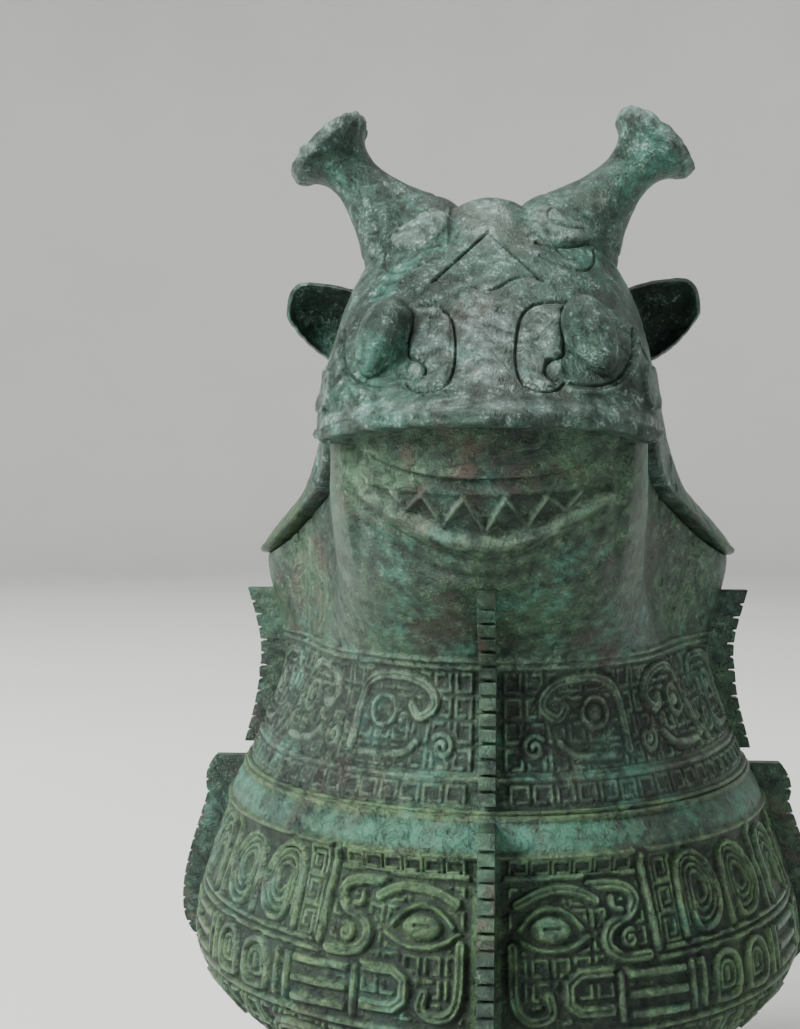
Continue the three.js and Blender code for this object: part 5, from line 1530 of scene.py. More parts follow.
def lid_part(name, front, back, rows, columns, side):
    """One side of the lid's skin between two places along it, with its ornament and its turned edge."""
    y_rows = lid_rows(front, back, rows)
    shares = np.linspace(0, 0.5, columns + 1) + (0.5 if side > 0 else 0)
    skin = lid_skin(y_rows, shares)
    rim = -1 if side > 0 else 0
    run = np.gradient(skin[:, rim, :2], y_rows, axis=0)
    out = side * np.stack([run[:, 1], -run[:, 0]], axis=1)
    out /= np.maximum(np.linalg.norm(out, axis=1, keepdims=True), TINY)
    out[np.abs(skin[:, rim, 0]) < LEAST_WIDTH] = (0, -1)
    ahead = ramp((MOUTH_CORNER_Y + CORNER_BLEND / 2 - y_rows) / CORNER_BLEND)
    from_lip = skin[..., 2] - skin[:, rim, 2][:, None]
    flare = (1 - np.clip(from_lip / LIP_FLARE, 0, 1)) ** 2
    roll = LIP_ROLL * flare * ramp((LIP_ROLL_END - y_rows) / LIP_ROLL_FADE)[:, None]
    aside = np.abs(skin[..., 0]) / np.maximum(np.abs(skin[:, rim, 0]), LEAST_WIDTH)[:, None]
    skin[..., 0] += roll * out[:, :1] * aside
    skin[..., 1] += roll * out[:, 1:]
    under = turned_edge(skin[:, rim], out, ahead)
    extra = under.shape[1]
    outside = np.ones(skin.shape[1] + extra, bool)
    if side > 0:
        points = np.concatenate([skin, under], axis=1)
        outside[-extra:] = False
    else:
        points = np.concatenate([under[:, ::-1], skin], axis=1)
        outside[:extra] = False
    x, y, z = points[..., 0], points[..., 1], points[..., 2]
    step = np.linalg.norm(np.diff(points, axis=1), axis=2)
    along = np.concatenate([np.zeros((len(points), 1)), np.cumsum(step, axis=1)], axis=1)
    from_ridge = along if side > 0 else along[:, -1:] - along
    carving = Carving(np.where(outside, y, OFF_SHEET), from_ridge)
    roof_ornament(carving)
    carving.up = z.ravel()
    for ornament in (face_ornament, rear_mask_ornament):
        carving.across = np.where(outside, np.abs(x), OFF_SHEET).ravel()
        ornament(carving, y)
    swell = np.zeros(carving.shape)
    swell[:, outside] = LIP_SWELL * ramp(LIP_SWELL_FULL - from_lip / LIP_SWELL_REACH) * ahead[:, None]
    carving.height += swell.ravel()
    return weld(laid_sheet(name, points, carving, WEATHERED["lid"]))


def mouth_panel(name):
    """Recessed panel under the beast's lip, over the row of teeth."""
    share = np.linspace(-0.5, 0.5, PLAIN_COLUMNS + 1)
    levels = np.linspace(PANEL_LOW, LIP_Z, PANEL_LEVELS)
    outer = half_ring(share, levels, False, PANEL_PROUD)
    low = rim_levels(levels, outer[1]) + LID_EDGE_GAP
    high = np.maximum(PANEL_HIGH, low + PANEL_LEAST)
    z = mix(low, high, np.linspace(0, 1, PANEL_ROWS)[:, None])
    wall = behind_cheeks(read_wall(outer, levels, z))
    seat = read_wall(half_ring(share, levels, False, -TONGUE_INSET), levels, low[None])
    under = mix(seat, wall[:1], np.linspace(0, 1, TURN_ROWS, endpoint=False)[:, None, None])
    return laid_sheet(name, np.concatenate([under, wall]))


def lid_lining(name):
    """Inner surface of the lid."""
    y_rows = lid_rows(LINING_FRONT, LINING_BACK, PLAIN_ROWS)
    points = lid_skin(y_rows, np.linspace(0, 1, PLAIN_COLUMNS + 1), LID_WALL)
    return laid_sheet(name, points[:, ::-1])


def lid_tongue(name):
    """Tongue under the lid's edge that keeps it in the vessel's mouth."""
    quarter = np.linspace(-1, 1, PLAIN_COLUMNS + 1)
    levels = np.linspace(NECK_Z, LIP_Z, TONGUE_LEVELS)
    top = rim_levels(levels, whole_ring(quarter, levels)[1])
    loops = []
    for inset in (TONGUE_INSET, TONGUE_INSET + TONGUE_WALL):
        tables = whole_ring(quarter, levels, -inset)
        for drop in (TONGUE_DEPTH, -SEAT_THICKNESS):
            loops.append(read_wall(tables, levels, (top - drop)[None])[0])
    outer_low, outer_high, inner_low, inner_high = loops
    ring = [outer_low, mix(outer_low, outer_high, 0.5), outer_high, inner_high,
            mix(inner_high, inner_low, 0.5), inner_low, outer_low]
    return weld(laid_sheet(name, np.array(ring), weathered=WEATHERED["tongue"]))


# Horns, ears and eyes

def rooted_in_lid(piece):
    """Ends the root of a piece inside the lid's wall, so that it doesn't show in the hollow."""
    points = points_of(piece) / MM
    inside = lid_height(points[:, 0], points[:, 1] - MIDDLE_SHIFT) - LID_WALL * 2 / 3
    points[:, 2] = np.maximum(points[:, 2], inside)
    set_points(piece, points * MM)
    return piece


def turned(name, profile, steps):
    """A round piece drawn up ring by ring from a circle, along its own +Y, in millimetres."""
    bpy.ops.object.select_all(action="DESELECT")
    start, radius = profile[0]
    bpy.ops.mesh.primitive_circle_add(vertices=steps, radius=radius, fill_type="NGON",
                                      rotation=(math.pi / 2, 0, 0), location=(0, start, 0))
    piece = named(bpy.context.object, name)
    bpy.ops.object.transform_apply(location=True, rotation=True, scale=True)
    bpy.ops.object.mode_set(mode="EDIT")
    bpy.ops.mesh.select_all(action="SELECT")
    for height, wide in profile[1:]:
        bpy.ops.mesh.extrude_region_move(TRANSFORM_OT_translate={"value": (0, height - start, 0)})
        scale = wide / radius
        bpy.ops.transform.resize(value=(scale, 1, scale), center_override=(0, height, 0))
        start, radius = height, wide
    bpy.ops.mesh.inset(thickness=radius * 0.5)
    bpy.ops.object.mode_set(mode="OBJECT")
    return outward(piece)


def horn(name, side):
    """Bottle-shaped horn with a wide flat end, grown into the head at its root."""
    piece = turned(name, HORN_PROFILE, HORN_STEPS)
    lean = (side * math.sin(HORN_TILT), math.sin(HORN_RAKE), math.cos(HORN_TILT))
    root = (side * HORN_SPREAD, HORN_Y, lid_height(HORN_SPREAD, HORN_Y) - HORN_SINK)
    place(piece, standing(root, lean))
    finish_with(piece, "SUBSURF", levels=2, render_levels=2)
    points = points_of(piece) / MM
    along = (points - (root[0], root[1] + MIDDLE_SHIFT, root[2])) @ np.array(Vector(lean).normalized())
    near = ramp((along - HORN_GNAWED_LOW) / HORN_GNAWED_FADE)
    gnawed = layered_noise(points, HORN_GNAWED)
    set_points(piece, (points + point_normals(piece) * (near * gnawed)[:, None]) * MM)
    # The horn's rim is marked raised, so it takes the pale of rubbed edges with painted highlight
    put_values(piece, "raised", ramp((along - HORN_RIM) / HORN_RUB_AND_HIGHLIGHT_FADE))
    weather(piece, WEATHERED["horn"])
    only(piece)
    bpy.ops.object.shade_smooth()
    return piece


def rounded_ball(name, half, steps):
    """A ball stretched to an egg, in millimetres about its middle."""
    bpy.ops.object.select_all(action="DESELECT")
    bpy.ops.mesh.primitive_uv_sphere_add(segments=steps[0], ring_count=steps[1], radius=1)
    piece = named(bpy.context.object, name)
    edit_whole(piece, bpy.ops.transform.resize, value=half, center_override=(0, 0, 0))
    bpy.ops.object.shade_smooth()
    return piece


def face_place(x, z):
    """Place on the beast's face at a width and a height."""
    low = LID_FRONT + LID_EDGE_GAP
    high = CROWN_Y
    for _ in range(FACE_HALVINGS):
        middle = (low + high) / 2
        if lid_height(x, middle) < z:
            low = middle
        else:
            high = middle
    return low


def eye(name, side):
    """Smooth egg-shaped eye with a shallow pit, broad above, its top leaning to the middle of the face."""
    piece = rounded_ball(name, EYE_HALF, EYE_STEPS)
    points = points_of(piece)
    pupil = np.hypot(points[:, 0] + side * EYE_PIT_PLACE[0], points[:, 2] + EYE_PIT_PLACE[1])
    pit = EYE_PIT_DEPTH * np.exp(-(pupil / EYE_PIT_RADIUS) ** 2)
    points[:, 1] -= np.where(points[:, 1] > 0, pit, 0)
    points[:, 0] *= 1 + EYE_TOP_SWELL * points[:, 2]
    set_points(piece, points)
    y = face_place(EYE_SPREAD, EYE_Z)
    lean = math.radians(EYE_LEAN)
    facing = (lid_normal(side * EYE_SPREAD, y) + Vector((0, -EYE_AHEAD, 0))).normalized()
    across = facing.cross(Vector((-side * math.sin(lean), 0, math.cos(lean)))).normalized()
    turn = Matrix((across, facing, across.cross(facing))).transposed().to_4x4()
    place(piece, Matrix.Translation(Vector((side * EYE_SPREAD, y, EYE_Z)) + EYE_FORWARD * facing) @ turn)
    return weather(piece, WEATHERED["eye"])


def rear_eye(name, side):
    """Round eye boss of the rear mask."""
    piece = rounded_ball(name, (REAR_EYE_RADIUS,) * 3, SMALL_BALL_STEPS)
    points = points_of(piece)
    pupil = np.hypot(points[:, 0], points[:, 2])
    pit = REAR_EYE_PIT_DEPTH * np.exp(-(pupil / REAR_EYE_PIT_RADIUS) ** 2)
    points[:, 1] -= np.where(points[:, 1] > 0, pit, 0)
    set_points(piece, points)
    x = side * REAR_EYE_SPREAD
    place(piece, standing((x, REAR_EYE_Y, lid_height(x, REAR_EYE_Y)), lid_normal(x, REAR_EYE_Y)))
    return weather(piece, WEATHERED["rear_eye"])


def bent(start, pull, end, count=10):
    """Points of a curve between two points, pulled toward a third."""
    share = np.linspace(0, 1, count)[:, None]
    start, pull, end = (np.array(point, float) for point in (start, pull, end))
    return (1 - share) ** 2 * start + 2 * share * (1 - share) * pull + share ** 2 * end


def ear(name, side):
    """Cupped leaf ear: a ball flattened to the leaf's outline, with a thin rim round its hollow."""
    half = EAR_HALF_HEIGHT
    root = -EAR_REACH / 2
    leaf = joined(bent((root, -half), (-root, -half), (EAR_REACH, half / 4)),
                  bent((EAR_REACH, half / 4), (EAR_REACH, half), (EAR_TIP_REACH, half)),
                  bent((EAR_TIP_REACH, half), (0, half), (root, half / 2)), [(root, -half)])
    middle = np.array((EAR_REACH * EAR_MIDDLE, 0))
    offset = leaf - middle
    angle = np.arctan2(offset[:, 1], offset[:, 0])
    order = np.argsort(angle)
    reach = np.linalg.norm(offset, axis=1)
    piece = rounded_ball(name, (1, 1, 1), EAR_STEPS)
    ball = points_of(piece)
    out = np.minimum(np.hypot(ball[:, 0], ball[:, 2]), 1)
    turn = np.arctan2(ball[:, 2], ball[:, 0])
    far = np.interp(turn, angle[order], reach[order], period=2 * np.pi)
    across = middle[0] + out * far * np.cos(turn)
    up = middle[1] + out * far * np.sin(turn)
    lean = EAR_LEAN * np.clip(across, 0, None) ** 1.2
    cup = EAR_CUP * (1 - np.clip(out / EAR_RIM, 0, 1) ** 3) ** 0.8
    front = -EAR_HALF_THICKNESS * (1 - out ** 10) ** 0.5 + cup
    rear = EAR_HALF_THICKNESS * (1 - out ** 3) ** 0.5 + EAR_BULGE * (1 - out ** 2)
    depth = np.where(ball[:, 1] < 0, front, rear) - lean
    set_points(piece, np.stack([side * across, depth, up], axis=1))
    x = half_width(LID_EDGE, EAR_Y)
    while lid_height(x, EAR_Y) < EAR_Z and x > 0:
        x -= LID_EDGE_GAP
    place(piece, Matrix.Translation((side * x, EAR_Y, EAR_Z)))
    return weather(outward(piece), WEATHERED["ear"])


# Flanges

def flange_edge(start, end):
    """Places along a flange, with how deep the notch is at each one: deep and shallow notches by turns."""
    count = 2 * max(2, round(abs(end - start) / FLANGE_NOTCH_PITCH))
    marks = []
    for tooth in range(count):
        depth = FLANGE_NOTCH_DEPTH if tooth % 2 else FLANGE_NOTCH_DEPTH / 2
        for share, cut in NOTCH_STEPS:
            if cut and tooth == count - 1:
                continue
            marks.append((mix(start, end, (tooth + share) / count), cut * depth))
    return marks + [(end, 0)]


def flange_plate(name, marks, wall_at, proud_at, across_wall):
    """A plate from a grid, made solid, with slits cut into its outer edge, in millimetres."""
    piece, row, column = new_grid(name, len(marks) - 1, 2)
    place_along = np.array([mark for mark, notch in marks])
    wall = np.array([wall_at(mark) for mark, notch in marks])
    proud = np.array([proud_at(mark) - notch for mark, notch in marks])
    reach = np.stack([wall - FLANGE_ROOT, wall + FLANGE_SEAM, wall + proud])
    set_points(piece, across_wall(reach[row, column], place_along[column]))
    return finish_with(outward(piece), "SOLIDIFY", thickness=FLANGE_THICKNESS, offset=0)


def finish_flange(piece, matrix):
    """Rounds the edges of a flange, puts it on its side of the object and roughens it."""
    finish_with(piece, "BEVEL", width=FLANGE_BEVEL, segments=2, limit_method="ANGLE",
                angle_limit=math.radians(FLANGE_BEVEL_ANGLE))
    place(piece, matrix)
    finish_with(piece, "SUBSURF", levels=1, render_levels=1, subdivision_type="SIMPLE")
    weather(piece, WEATHERED["flange"])
    return smooth_by_angle(piece, FLANGE_SMOOTH_ANGLE)


def wall_flange(name, label, wall_at, low, high, proud_at):
    """Notched flange that stands on the wall."""
    piece = flange_plate(name, flange_edge(low, high), wall_at, proud_at,
                         lambda reach, z: np.stack([reach, np.zeros_like(reach), z], axis=1))
    turn = math.radians(SIDES[label][0])
    return finish_flange(piece, Matrix.Rotation(turn, 4, "Z"))


def belly_flange_proud(z):
    """How far a flange of the belly stands out: more and more towards the band."""
    return FLANGE_PROUD + FLANGE_TOP_FLARE * max(0, (z - BELLY_Z) / (SHOULDER_Z - BELLY_Z))


def neck_flange_proud(z):
    """How far a flange of the neck stands out: half as far at its lower end."""
    grown = min(max((z - NECK_FLANGE_LOW) / FLANGE_TAPER, 0), 1)
    return mix(FLANGE_PROUD / 2, FLANGE_PROUD, grown)


def spine_flange(name):
    """Notched flange along the ridge of the lid."""
    piece = flange_plate(name, flange_edge(SPINE_FRONT, SPINE_BACK), crest_height, lambda y: SPINE_PROUD,
                         lambda reach, y: np.stack([np.zeros_like(reach), y, reach], axis=1))
    return finish_flange(piece, Matrix.Identity(4))


# The handle

def smooth_path(marks, count):
    """Points on a centripetal curve through marks in the side view, at even shares of its parts."""
    marks = np.array(marks, float)
    marks = np.vstack([2 * marks[0] - marks[1], marks, 2 * marks[-1] - marks[-2]])
    parts = len(marks) - 3
    points = []
    for share in np.linspace(0, parts, count):
        i = min(int(share), parts - 1)
        t = share - i
        p0, p1, p2, p3 = marks[i:i + 4]
        d0, d1, d2 = (math.sqrt(np.linalg.norm(b - a)) for a, b in ((p0, p1), (p1, p2), (p2, p3)))
        leave = ((p1 - p0) / d0 - (p2 - p0) / (d0 + d1) + (p2 - p1) / d1) * d1
        enter = ((p2 - p1) / d1 - (p3 - p1) / (d1 + d2) + (p3 - p2) / d2) * d1
        points.append((2 * t ** 3 - 3 * t ** 2 + 1) * p1 + (t ** 3 - 2 * t ** 2 + t) * leave
                      + (3 * t ** 2 - 2 * t ** 3) * p2 + (t ** 3 - t ** 2) * enter)
    return np.array(points)


def loop_path(count):
    """Middle line of the handle's loop in the side view, and the direction to its inner side."""
    out = HANDLE_REACH - HANDLE_THICKNESS / 2
    half_head = HANDLE_HEAD_HALF[1]
    path = smooth_path([
        (HANDLE_HEAD_REACH - HANDLE_THICKNESS, HANDLE_TOP_Z - half_head / 2),
        (HANDLE_HEAD_REACH + HANDLE_THICKNESS, HANDLE_TOP_Z - half_head / 2),
        (out - HANDLE_THICKNESS / 2, HANDLE_TOP_Z - 2 * half_head),
        (out, (HANDLE_TOP_Z + HANDLE_LOW_Z) / 2),
        (out - HANDLE_THICKNESS, HANDLE_LOW_Z + 2 * HANDLE_THICKNESS),
        (HANDLE_HEAD_REACH, HANDLE_LOW_Z),
        (HANDLE_FOOT_REACH, HANDLE_LOW_Z),
    ], count)
    run = np.gradient(path, axis=0)
    run /= np.linalg.norm(run, axis=1, keepdims=True)
    return path, np.stack([run[:, 1], -run[:, 0]], axis=1)


def bar_along(path, out, section):
    """Sheet of points round a bar: section gives the offsets sideways and to its inner side."""
    rows = []
    for (y, z), (out_y, out_z), offsets in zip(path, out, section):
        side, away = offsets[:, 0], offsets[:, 1]
        rows.append(np.stack([side, y + out_y * away, z + out_z * away], axis=1))
    return np.array(rows)


def rooted_in_bowl(points):
    """Ends the root of the handle inside the bowl's wall, so that it doesn't show in the hollow."""
    x, z = points[..., 0], points[..., 2]
    back, side = (wall_size(field, z) for field in ("back", "half_width"))
    inside = (back - VESSEL_WALL / 2) * np.sqrt(1 - np.minimum(np.abs(x) / side, 1) ** 2)
    points[..., 1] = np.maximum(points[..., 1], inside)
    return points


def handle_loop(name):
    """Loop of the handle with a row of scales outside and the core's channel inside."""
    path, out = loop_path(LOOP_STEPS)
    angle = np.linspace(-np.pi, np.pi, LOOP_ROUND)
    side = HANDLE_WIDTH / 2 * boxy(np.cos(angle), LOOP_ROUNDNESS)
    away = HANDLE_THICKNESS / 2 * boxy(np.sin(angle), LOOP_ROUNDNESS)
    channel = (np.abs(side) < CORE_WIDTH / 2 + CORE_SIDE_GAP) & (away > 0)
    section = []
    for index in range(LOOP_STEPS):
        share = index / (LOOP_STEPS - 1)
        cut = ramp((share - CORE_SPAN[0]) * CORE_ENDS) * ramp((CORE_SPAN[1] - share) * CORE_ENDS)
        sunk = np.where(channel, away - cut * (CORE_DEPTH - CORE_UNDER_GAP), away)
        section.append(np.stack([side, sunk], axis=1))
    points = rooted_in_bowl(bar_along(path, out, section))
    length = run_length(np.linalg.norm(np.diff(path, axis=0), axis=1))
    carving = Carving((angle / np.pi * LOOP_HALF_GIRTH)[None, :], length[:, None])
    for step in range(LOOP_SCALES):
        start = LOOP_SCALE_START + LOOP_SCALE_PITCH * step
        for inset in (0, 2.6):
            scale = soften([(-16 + inset, start + 5), (-11, start - 4.4 + inset), (-6 - inset, start + 5)])
            carving.line(scale, *LOOP_LINE)
    for across in LOOP_TRIM:
        carving.line([(across, LOOP_TRIM_START), (across, length[-1])], *LOOP_LINE)
    return outward(weld(laid_sheet(name, points, carving, WEATHERED["loop"])))


def handle_core(name):
    """Clay core that shows in the channel on the loop's inner side."""
    path, out = loop_path(CORE_STEPS)
    first, last = (round(share * (CORE_STEPS - 1)) for share in CORE_SPAN)
    shift = (HANDLE_THICKNESS - CORE_DEPTH) / 2 + CORE_PROUD
    angle = np.linspace(-np.pi, np.pi, CORE_ROUND)
    side = CORE_WIDTH / 2 * np.clip(CORE_SQUARENESS * np.cos(angle), -1, 1)
    away = shift + CORE_DEPTH / 2 * np.clip(CORE_SQUARENESS * np.sin(angle), -1, 1)
    section = [np.stack([side, away], axis=1)] * (last - first)
    rows = bar_along(path[first:last], out[first:last], section)
    ends = [np.broadcast_to(row.mean(axis=0), row.shape)[None] for row in (rows[0], rows[-1])]
    points = np.concatenate([ends[0], rows, ends[1]])
    return outward(weld(laid_sheet(name, points, weathered=WEATHERED["core"])))


def handle_head(name):
    """Beast's head at the top of the handle, with brows, round eyes and a broad muzzle."""
    stations = np.array(HANDLE_HEAD_STATIONS)
    share = np.linspace(HANDLE_HEAD_START, 1, HANDLE_HEAD_STEPS)
    width, tall, drop = (fair(stations[:, (0, column)], share)[:, None] for column in (1, 2, 3))
    angle = np.linspace(-np.pi, np.pi, HANDLE_HEAD_ROUND)
    half_across, half_up = HANDLE_HEAD_HALF
    x = -half_across * width * boxy(np.cos(angle), HEAD_ROUNDNESS)
    z = HANDLE_TOP_Z - half_up * drop + half_up * tall * boxy(np.sin(angle), HEAD_ROUNDNESS)
    start = HANDLE_HEAD_REACH - HANDLE_HEAD_LENGTH
    y = np.broadcast_to((start + HANDLE_HEAD_LENGTH * share)[:, None], x.shape)
    rows = np.stack([x, y, z], axis=2)
    nose = rows[-1:] * 0 + rows[-1].mean(axis=0)
    inward, ahead = np.array(HANDLE_NOSE).T
    cap = mix(rows[-1:], nose, inward[:, None, None])
    cap[..., 1] += ahead[:, None]
    points = rooted_in_bowl(np.concatenate([rows, cap]))
    carving = Carving(np.abs(points[..., 0]), points[..., 1])
    top = points[..., 2] > HANDLE_TOP_Z - half_up * HANDLE_FACE_DROP
    carving.across = np.where(top, np.abs(points[..., 0]), OFF_SHEET).ravel()
    carving.area(oval((8.2, start + 25), 3.4, 4.2), 2.6, 3.2)
    carving.bold(oval((8.2, start + 25), 5.2, 6.2), 1.5, 1.0)
    carving.bold(soften([(2.4, start + 30), (3, start + 20), (7, start + 16), (13, start + 17)]), 2.2, 1.2)
    carving.line([(0.6, start + 4), (0.6, start + 38)], 2.2, 1.0)
    carving.area(oval((5.6, start + 37), 2.8, 2.4), 1.5, 2.2)
    carving.groove(round_spiral((5.6, start + 37), 2.6, 1.2, 90), 0.8, 0.6)
    carving.bold(round_spiral((8, start + 8), 4, 1.5, -60), 1.6, 0.9)
    return outward(weld(laid_sheet(name, points, carving, WEATHERED["handle_head"])))


def handle_ear(name, side):
    """Rounded ear of the handle's beast with a shallow hollow."""
    piece = rounded_ball(name, HANDLE_EAR_HALF, SMALL_BALL_STEPS)
    points = points_of(piece)
    half_across, half_along = HANDLE_EAR_HOLLOW_HALF
    along = (points[:, 1] - HANDLE_EAR_HOLLOW_PLACE) / half_along
    hollow = np.exp(-along ** 2 - (points[:, 0] / half_across) ** 2)
    points[:, 2] -= np.where(points[:, 2] > 0, HANDLE_EAR_HOLLOW_DEPTH * hollow, 0)
    set_points(piece, points)
    x, y, z = HANDLE_EAR_PLACE
    lean_x, lean_y, lean_z = HANDLE_EAR_LEAN
    place(piece, standing((side * x, y, z), (side * lean_x, lean_y, lean_z)))
    return weather(piece, WEATHERED["handle_ear"])


def handle_tail(name):
    """Hooked tail under the loop's lower end: a bevelled plate between its two edges."""
    middle = HANDLE_HEAD_REACH - TAIL_LENGTH / 4
    front = soften([(-0.5, 0), (-0.5, 0.5), (-0.2, 0.9), (0.1, 1)], 3)
    rear = soften([(0.5, 0), (0.45, 0.25), (0.3, 0.6), (0.5, 0.85), (0.1, 1)], 3)
    share = np.linspace(0, 1, TAIL_STEPS)
    edges = []
    for line in (front, rear):
        along, down = even_places(line[:, 0], line[:, 1], share)
        edges.append(np.stack([middle + TAIL_LENGTH * along, HANDLE_LOW_Z - TAIL_DROP * down], axis=1))
    across = np.linspace(0, 1, TAIL_ACROSS)
    flat = mix(edges[0][:, None, :], edges[1][:, None, :], across[None, :, None])
    points = np.concatenate([np.zeros((*flat.shape[:2], 1)), flat], axis=2)
    piece = weld(laid_sheet(name, points, weathered=0), TAIL_WELD_DISTANCE)
    finish_with(piece, "SOLIDIFY", thickness=TAIL_THICKNESS * MM, offset=0)
    finish_with(piece, "BEVEL", width=TAIL_BEVEL * MM, segments=3, limit_method="ANGLE",
                angle_limit=math.radians(TAIL_ANGLE))
    weather(outward(piece), WEATHERED["tail"])
    return smooth_by_angle(piece, TAIL_ANGLE)


# Operators

class GUANG_OT_materials(bpy.types.Operator):
    """Makes the patina and the materials that use it"""

    bl_idname = "guang.materials"
    bl_label = "Materials"

    def execute(self, context):
        patina_group()
        for name, (shares, bump) in BRONZES.items():
            bronze_material(name, shares, bump)
        clay_material()
        floor_material()
        return {"FINISHED"}


class GUANG_OT_bowl(bpy.types.Operator):
    """Models the bowl: belly, neck with the lower jaw, and lining"""

    bl_idname = "guang.bowl"
    bl_label = "Bowl"

    def execute(self, context):
        for label in ("front", "back"):
            for hand, side in HANDS:
                end = label + "_" + hand
                belly = belly_quarter("belly_" + end, label, side)
                hand_over(belly, "vessel", ["vessel_bowl"], "bronze_body")
                neck = neck_quarter("neck_" + end, label, side)
                hand_over(neck, "vessel", ["vessel_bowl"], "bronze_neck")
        hand_over(bowl_lining("bowl_lining"), "vessel", ["vessel_bowl"], "bronze_inside")
        return {"FINISHED"}


class GUANG_OT_foot(bpy.types.Operator):
    """Models the foot ring"""

    bl_idname = "guang.foot"
    bl_label = "Foot ring"

    def execute(self, context):
        for label, back in (("front", False), ("back", True)):
            piece = foot_half("foot_ring_" + label, back)
            hand_over(piece, "vessel", ["foot_ring"], "bronze_dark")
        return {"FINISHED"}


class GUANG_OT_flanges(bpy.types.Operator):
    """Models the notched flanges of the vessel and the lid"""

    bl_idname = "guang.flanges"
    bl_label = "Flanges"

    def execute(self, context):
        for label, (_, field) in SIDES.items():
            def wall_at(z):
                return level_outline(z)[field]

            def foot_at(z):
                size = FOOT_HALF_WIDTH if field == "half_width" else FOOT_REACH
                return size + FOOT_SPLAY * max(1 - z / FOOT_TOP, 0) ** 2 - FOOT_INSET

            foot_high = FOOT_TOP - FOOT_GAP - FLANGE_END_GAP
            flanges = [("foot_flange_", foot_at, FLANGE_END_GAP, foot_high, lambda z: FLANGE_PROUD / 2)]
            if label != "rear":
                neck_high = THROAT_FLANGE_HIGH if label == "front" else NECK_FLANGE_HIGH
                flanges += [
                    ("belly_flange_", wall_at, BELLY_FLANGE_LOW, BELLY_FLANGE_HIGH, belly_flange_proud),
                    ("neck_flange_", wall_at, NECK_FLANGE_LOW, neck_high, neck_flange_proud),
                ]
            for prefix, reach_at, low, high, proud_at in flanges:
                node = prefix + label
                piece = wall_flange("carved_" + node, label, reach_at, low, high, proud_at)
                hand_over(piece, "vessel", [node], "bronze_dark")
        spine = spine_flange("carved_lid_spine")
        hand_over(spine, "lid", ["lid_spine_flange"], "bronze_dark")
        return {"FINISHED"}


class GUANG_OT_handle(bpy.types.Operator):
    """Models the handle: beast's head, ears, loop, clay core and tail"""

    bl_idname = "guang.handle"
    bl_label = "Handle"

    def execute(self, context):
        hand_over(handle_head("handle_beast"), "vessel", ["handle_head"], "bronze_body")
        hand_over(handle_loop("handle_bar"), "vessel", ["handle_loop"], "bronze_body")
        hand_over(handle_core("handle_clay"), "vessel", ["handle_core"], "clay_core")
        hand_over(handle_tail("handle_hook"), "vessel", ["handle_tail"], "bronze_dark")
        for label, side in HANDS:
            piece = handle_ear("handle_beast_ear_" + label, side)
            hand_over(piece, "vessel", ["handle_ear_" + label], "bronze_body")
        return {"FINISHED"}


class GUANG_OT_lid(bpy.types.Operator):
    """Models the lid: beast's head, roof, mouth panel, lining and tongue"""

    bl_idname = "guang.lid"
    bl_label = "Lid"

    def execute(self, context):
        pieces = []
        for hand, side in HANDS:
            head = lid_part("lid_head_" + hand, LID_FRONT, HEAD_SEAM_Y, HEAD_ROWS, HEAD_COLUMNS, side)
            roof = lid_part("lid_roof_" + hand, HEAD_SEAM_Y, LID_BACK, ROOF_ROWS, ROOF_COLUMNS, side)
            pieces += [(head, "bronze_head"), (roof, "bronze_body")]
        pieces += [
            (mouth_panel("lid_mouth_panel"), "bronze_dark"),
            (lid_lining("lid_lining"), "bronze_inside"),
            (lid_tongue("lid_tongue"), "bronze_inside"),
        ]
        for piece, material in pieces:
            hand_over(piece, "lid", ["lid_shell"], material)
        return {"FINISHED"}


class GUANG_OT_features(bpy.types.Operator):
    """Models the horns, ears and eyes of the beast and the eyes of the rear mask"""

    bl_idname = "guang.features"
    bl_label = "Horns, ears and eyes"

    def execute(self, context):
        for label, side in HANDS:
            for node, model in (("horn_", horn), ("ear_", ear), ("eye_", eye)):
                piece = rooted_in_lid(model("beast_" + node + label, side))
                hand_over(piece, "lid", [node + label], "bronze_head")
            boss = rooted_in_lid(rear_eye("mask_eye_" + label, side))
            hand_over(boss, "lid", ["rear_mask_eye_" + label], "bronze_body")
        return {"FINISHED"}


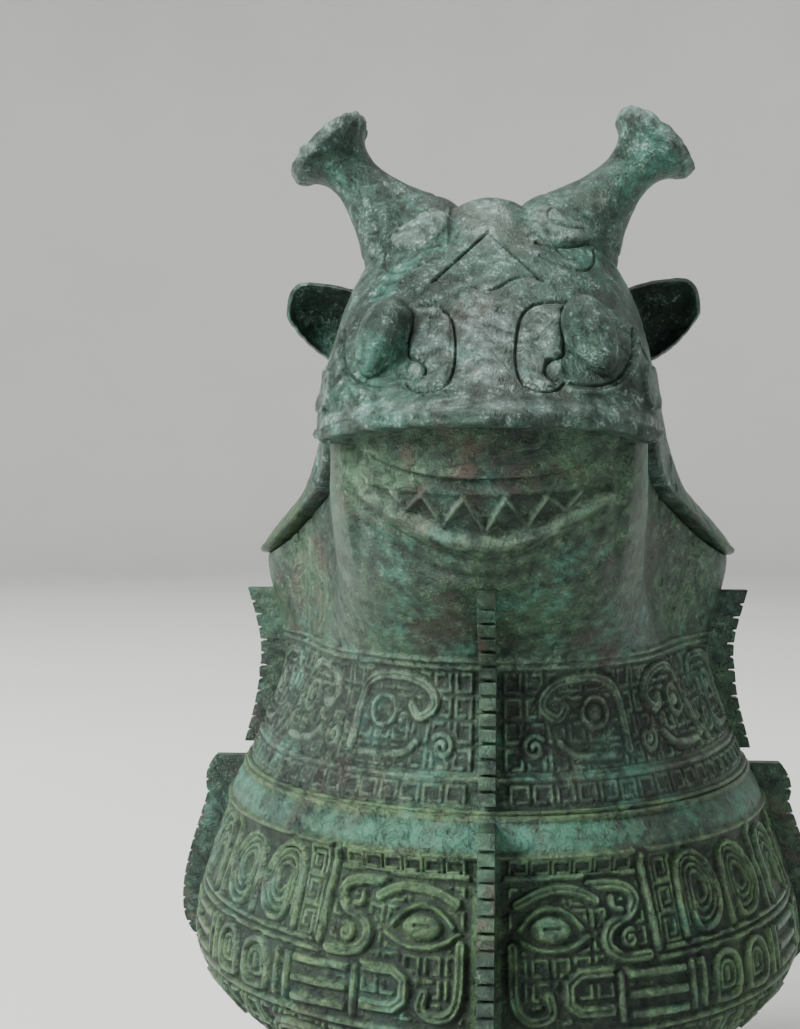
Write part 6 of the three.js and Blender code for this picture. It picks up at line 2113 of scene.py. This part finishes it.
class GUANG_OT_stage(bpy.types.Operator):
    """Sets the floor, the soft lights and the camera"""

    bl_idname = "guang.stage"
    bl_label = "Stage"

    def execute(self, context):
        settings = context.scene.guang_stage
        profile = [(share * FLOOR_RADIUS, 0) for share in np.linspace(0, 1, FLOOR_RINGS)]
        for turn in np.linspace(-np.pi / 2, 0, FLOOR_BEND_RINGS)[1:]:
            reach = FLOOR_RADIUS + FLOOR_BEND * math.cos(turn)
            profile.append((reach, FLOOR_BEND + FLOOR_BEND * math.sin(turn)))
        profile.append((FLOOR_RADIUS + FLOOR_BEND, BACKDROP_HEIGHT))
        angle = np.linspace(0, 2 * np.pi, FLOOR_ROUND)
        rows = [np.stack([reach * np.cos(angle), reach * np.sin(angle), np.full(FLOOR_ROUND, z)], axis=1)
                for reach, z in profile]
        points = np.array(rows)[:, ::-1] / MM
        points[..., 1] -= MIDDLE_SHIFT
        floor = weld(laid_sheet("studio_floor", points, weathered=0), FLOOR_WELD_DISTANCE)
        floor.data.materials.append(bpy.data.materials["pale_floor"])
        aim = Vector((0, MIDDLE_SHIFT * MM, AIM_HEIGHT))
        for label, (size, spot) in LIGHTS.items():
            bpy.ops.object.light_add(type="AREA", location=spot)
            lamp = bpy.context.object
            lamp.name = label + "_light"
            lamp.data.energy = getattr(settings, label)
            lamp.data.size = size
            lamp.rotation_euler = (aim - Vector(spot)).to_track_quat("-Z", "Y").to_euler()
        world = bpy.data.worlds.new("studio_world")
        world.use_nodes = True
        background = world.node_tree.nodes["Background"].inputs
        background["Color"].default_value = WORLD_COLOUR
        background["Strength"].default_value = WORLD_STRENGTH
        context.scene.world = world
        bpy.ops.object.camera_add(location=settings.camera_place,
                                  rotation=(math.pi / 2 - settings.camera_dip, 0, settings.camera_turn))
        camera = bpy.context.object
        camera.name = "photo_camera"
        camera.data.lens = settings.lens
        camera.data.clip_start = CAMERA_NEAREST
        context.scene.camera = camera
        return {"FINISHED"}


class GUANG_PT_panel(bpy.types.Panel):
    """Sidebar panel that lists the steps"""

    bl_idname = "GUANG_PT_panel"
    bl_label = "Bronze guang vessel"
    bl_space_type = "VIEW_3D"
    bl_region_type = "UI"
    bl_category = "Guang"

    def draw(self, context):
        for operator in OPERATORS:
            self.layout.operator(operator.bl_idname)
        for group in (context.scene.guang_relief, context.scene.guang_patina, context.scene.guang_stage):
            column = self.layout.column()
            for name in group.bl_rna.properties.keys():
                if name not in ("rna_type", "name"):
                    column.prop(group, name)


SETTINGS = {"guang_relief": GuangReliefSettings, "guang_patina": GuangPatinaSettings,
            "guang_stage": GuangStageSettings}
OPERATORS = (GUANG_OT_materials, GUANG_OT_bowl, GUANG_OT_foot, GUANG_OT_flanges, GUANG_OT_handle,
             GUANG_OT_lid, GUANG_OT_features, GUANG_OT_stage)


def register():
    for group in SETTINGS.values():
        bpy.utils.register_class(group)
    for name, group in SETTINGS.items():
        setattr(bpy.types.Scene, name, PointerProperty(type=group))
    for operator in OPERATORS:
        bpy.utils.register_class(operator)
    bpy.utils.register_class(GUANG_PT_panel)


def unregister():
    bpy.utils.unregister_class(GUANG_PT_panel)
    for operator in reversed(OPERATORS):
        bpy.utils.unregister_class(operator)
    for name, group in SETTINGS.items():
        delattr(bpy.types.Scene, name)
        bpy.utils.unregister_class(group)


def main():
    """Builds the whole scene."""
    register()
    for operator in OPERATORS:
        group, step = operator.bl_idname.split(".")
        getattr(getattr(bpy.ops, group), step)()


if __name__ == "__main__":
    main()
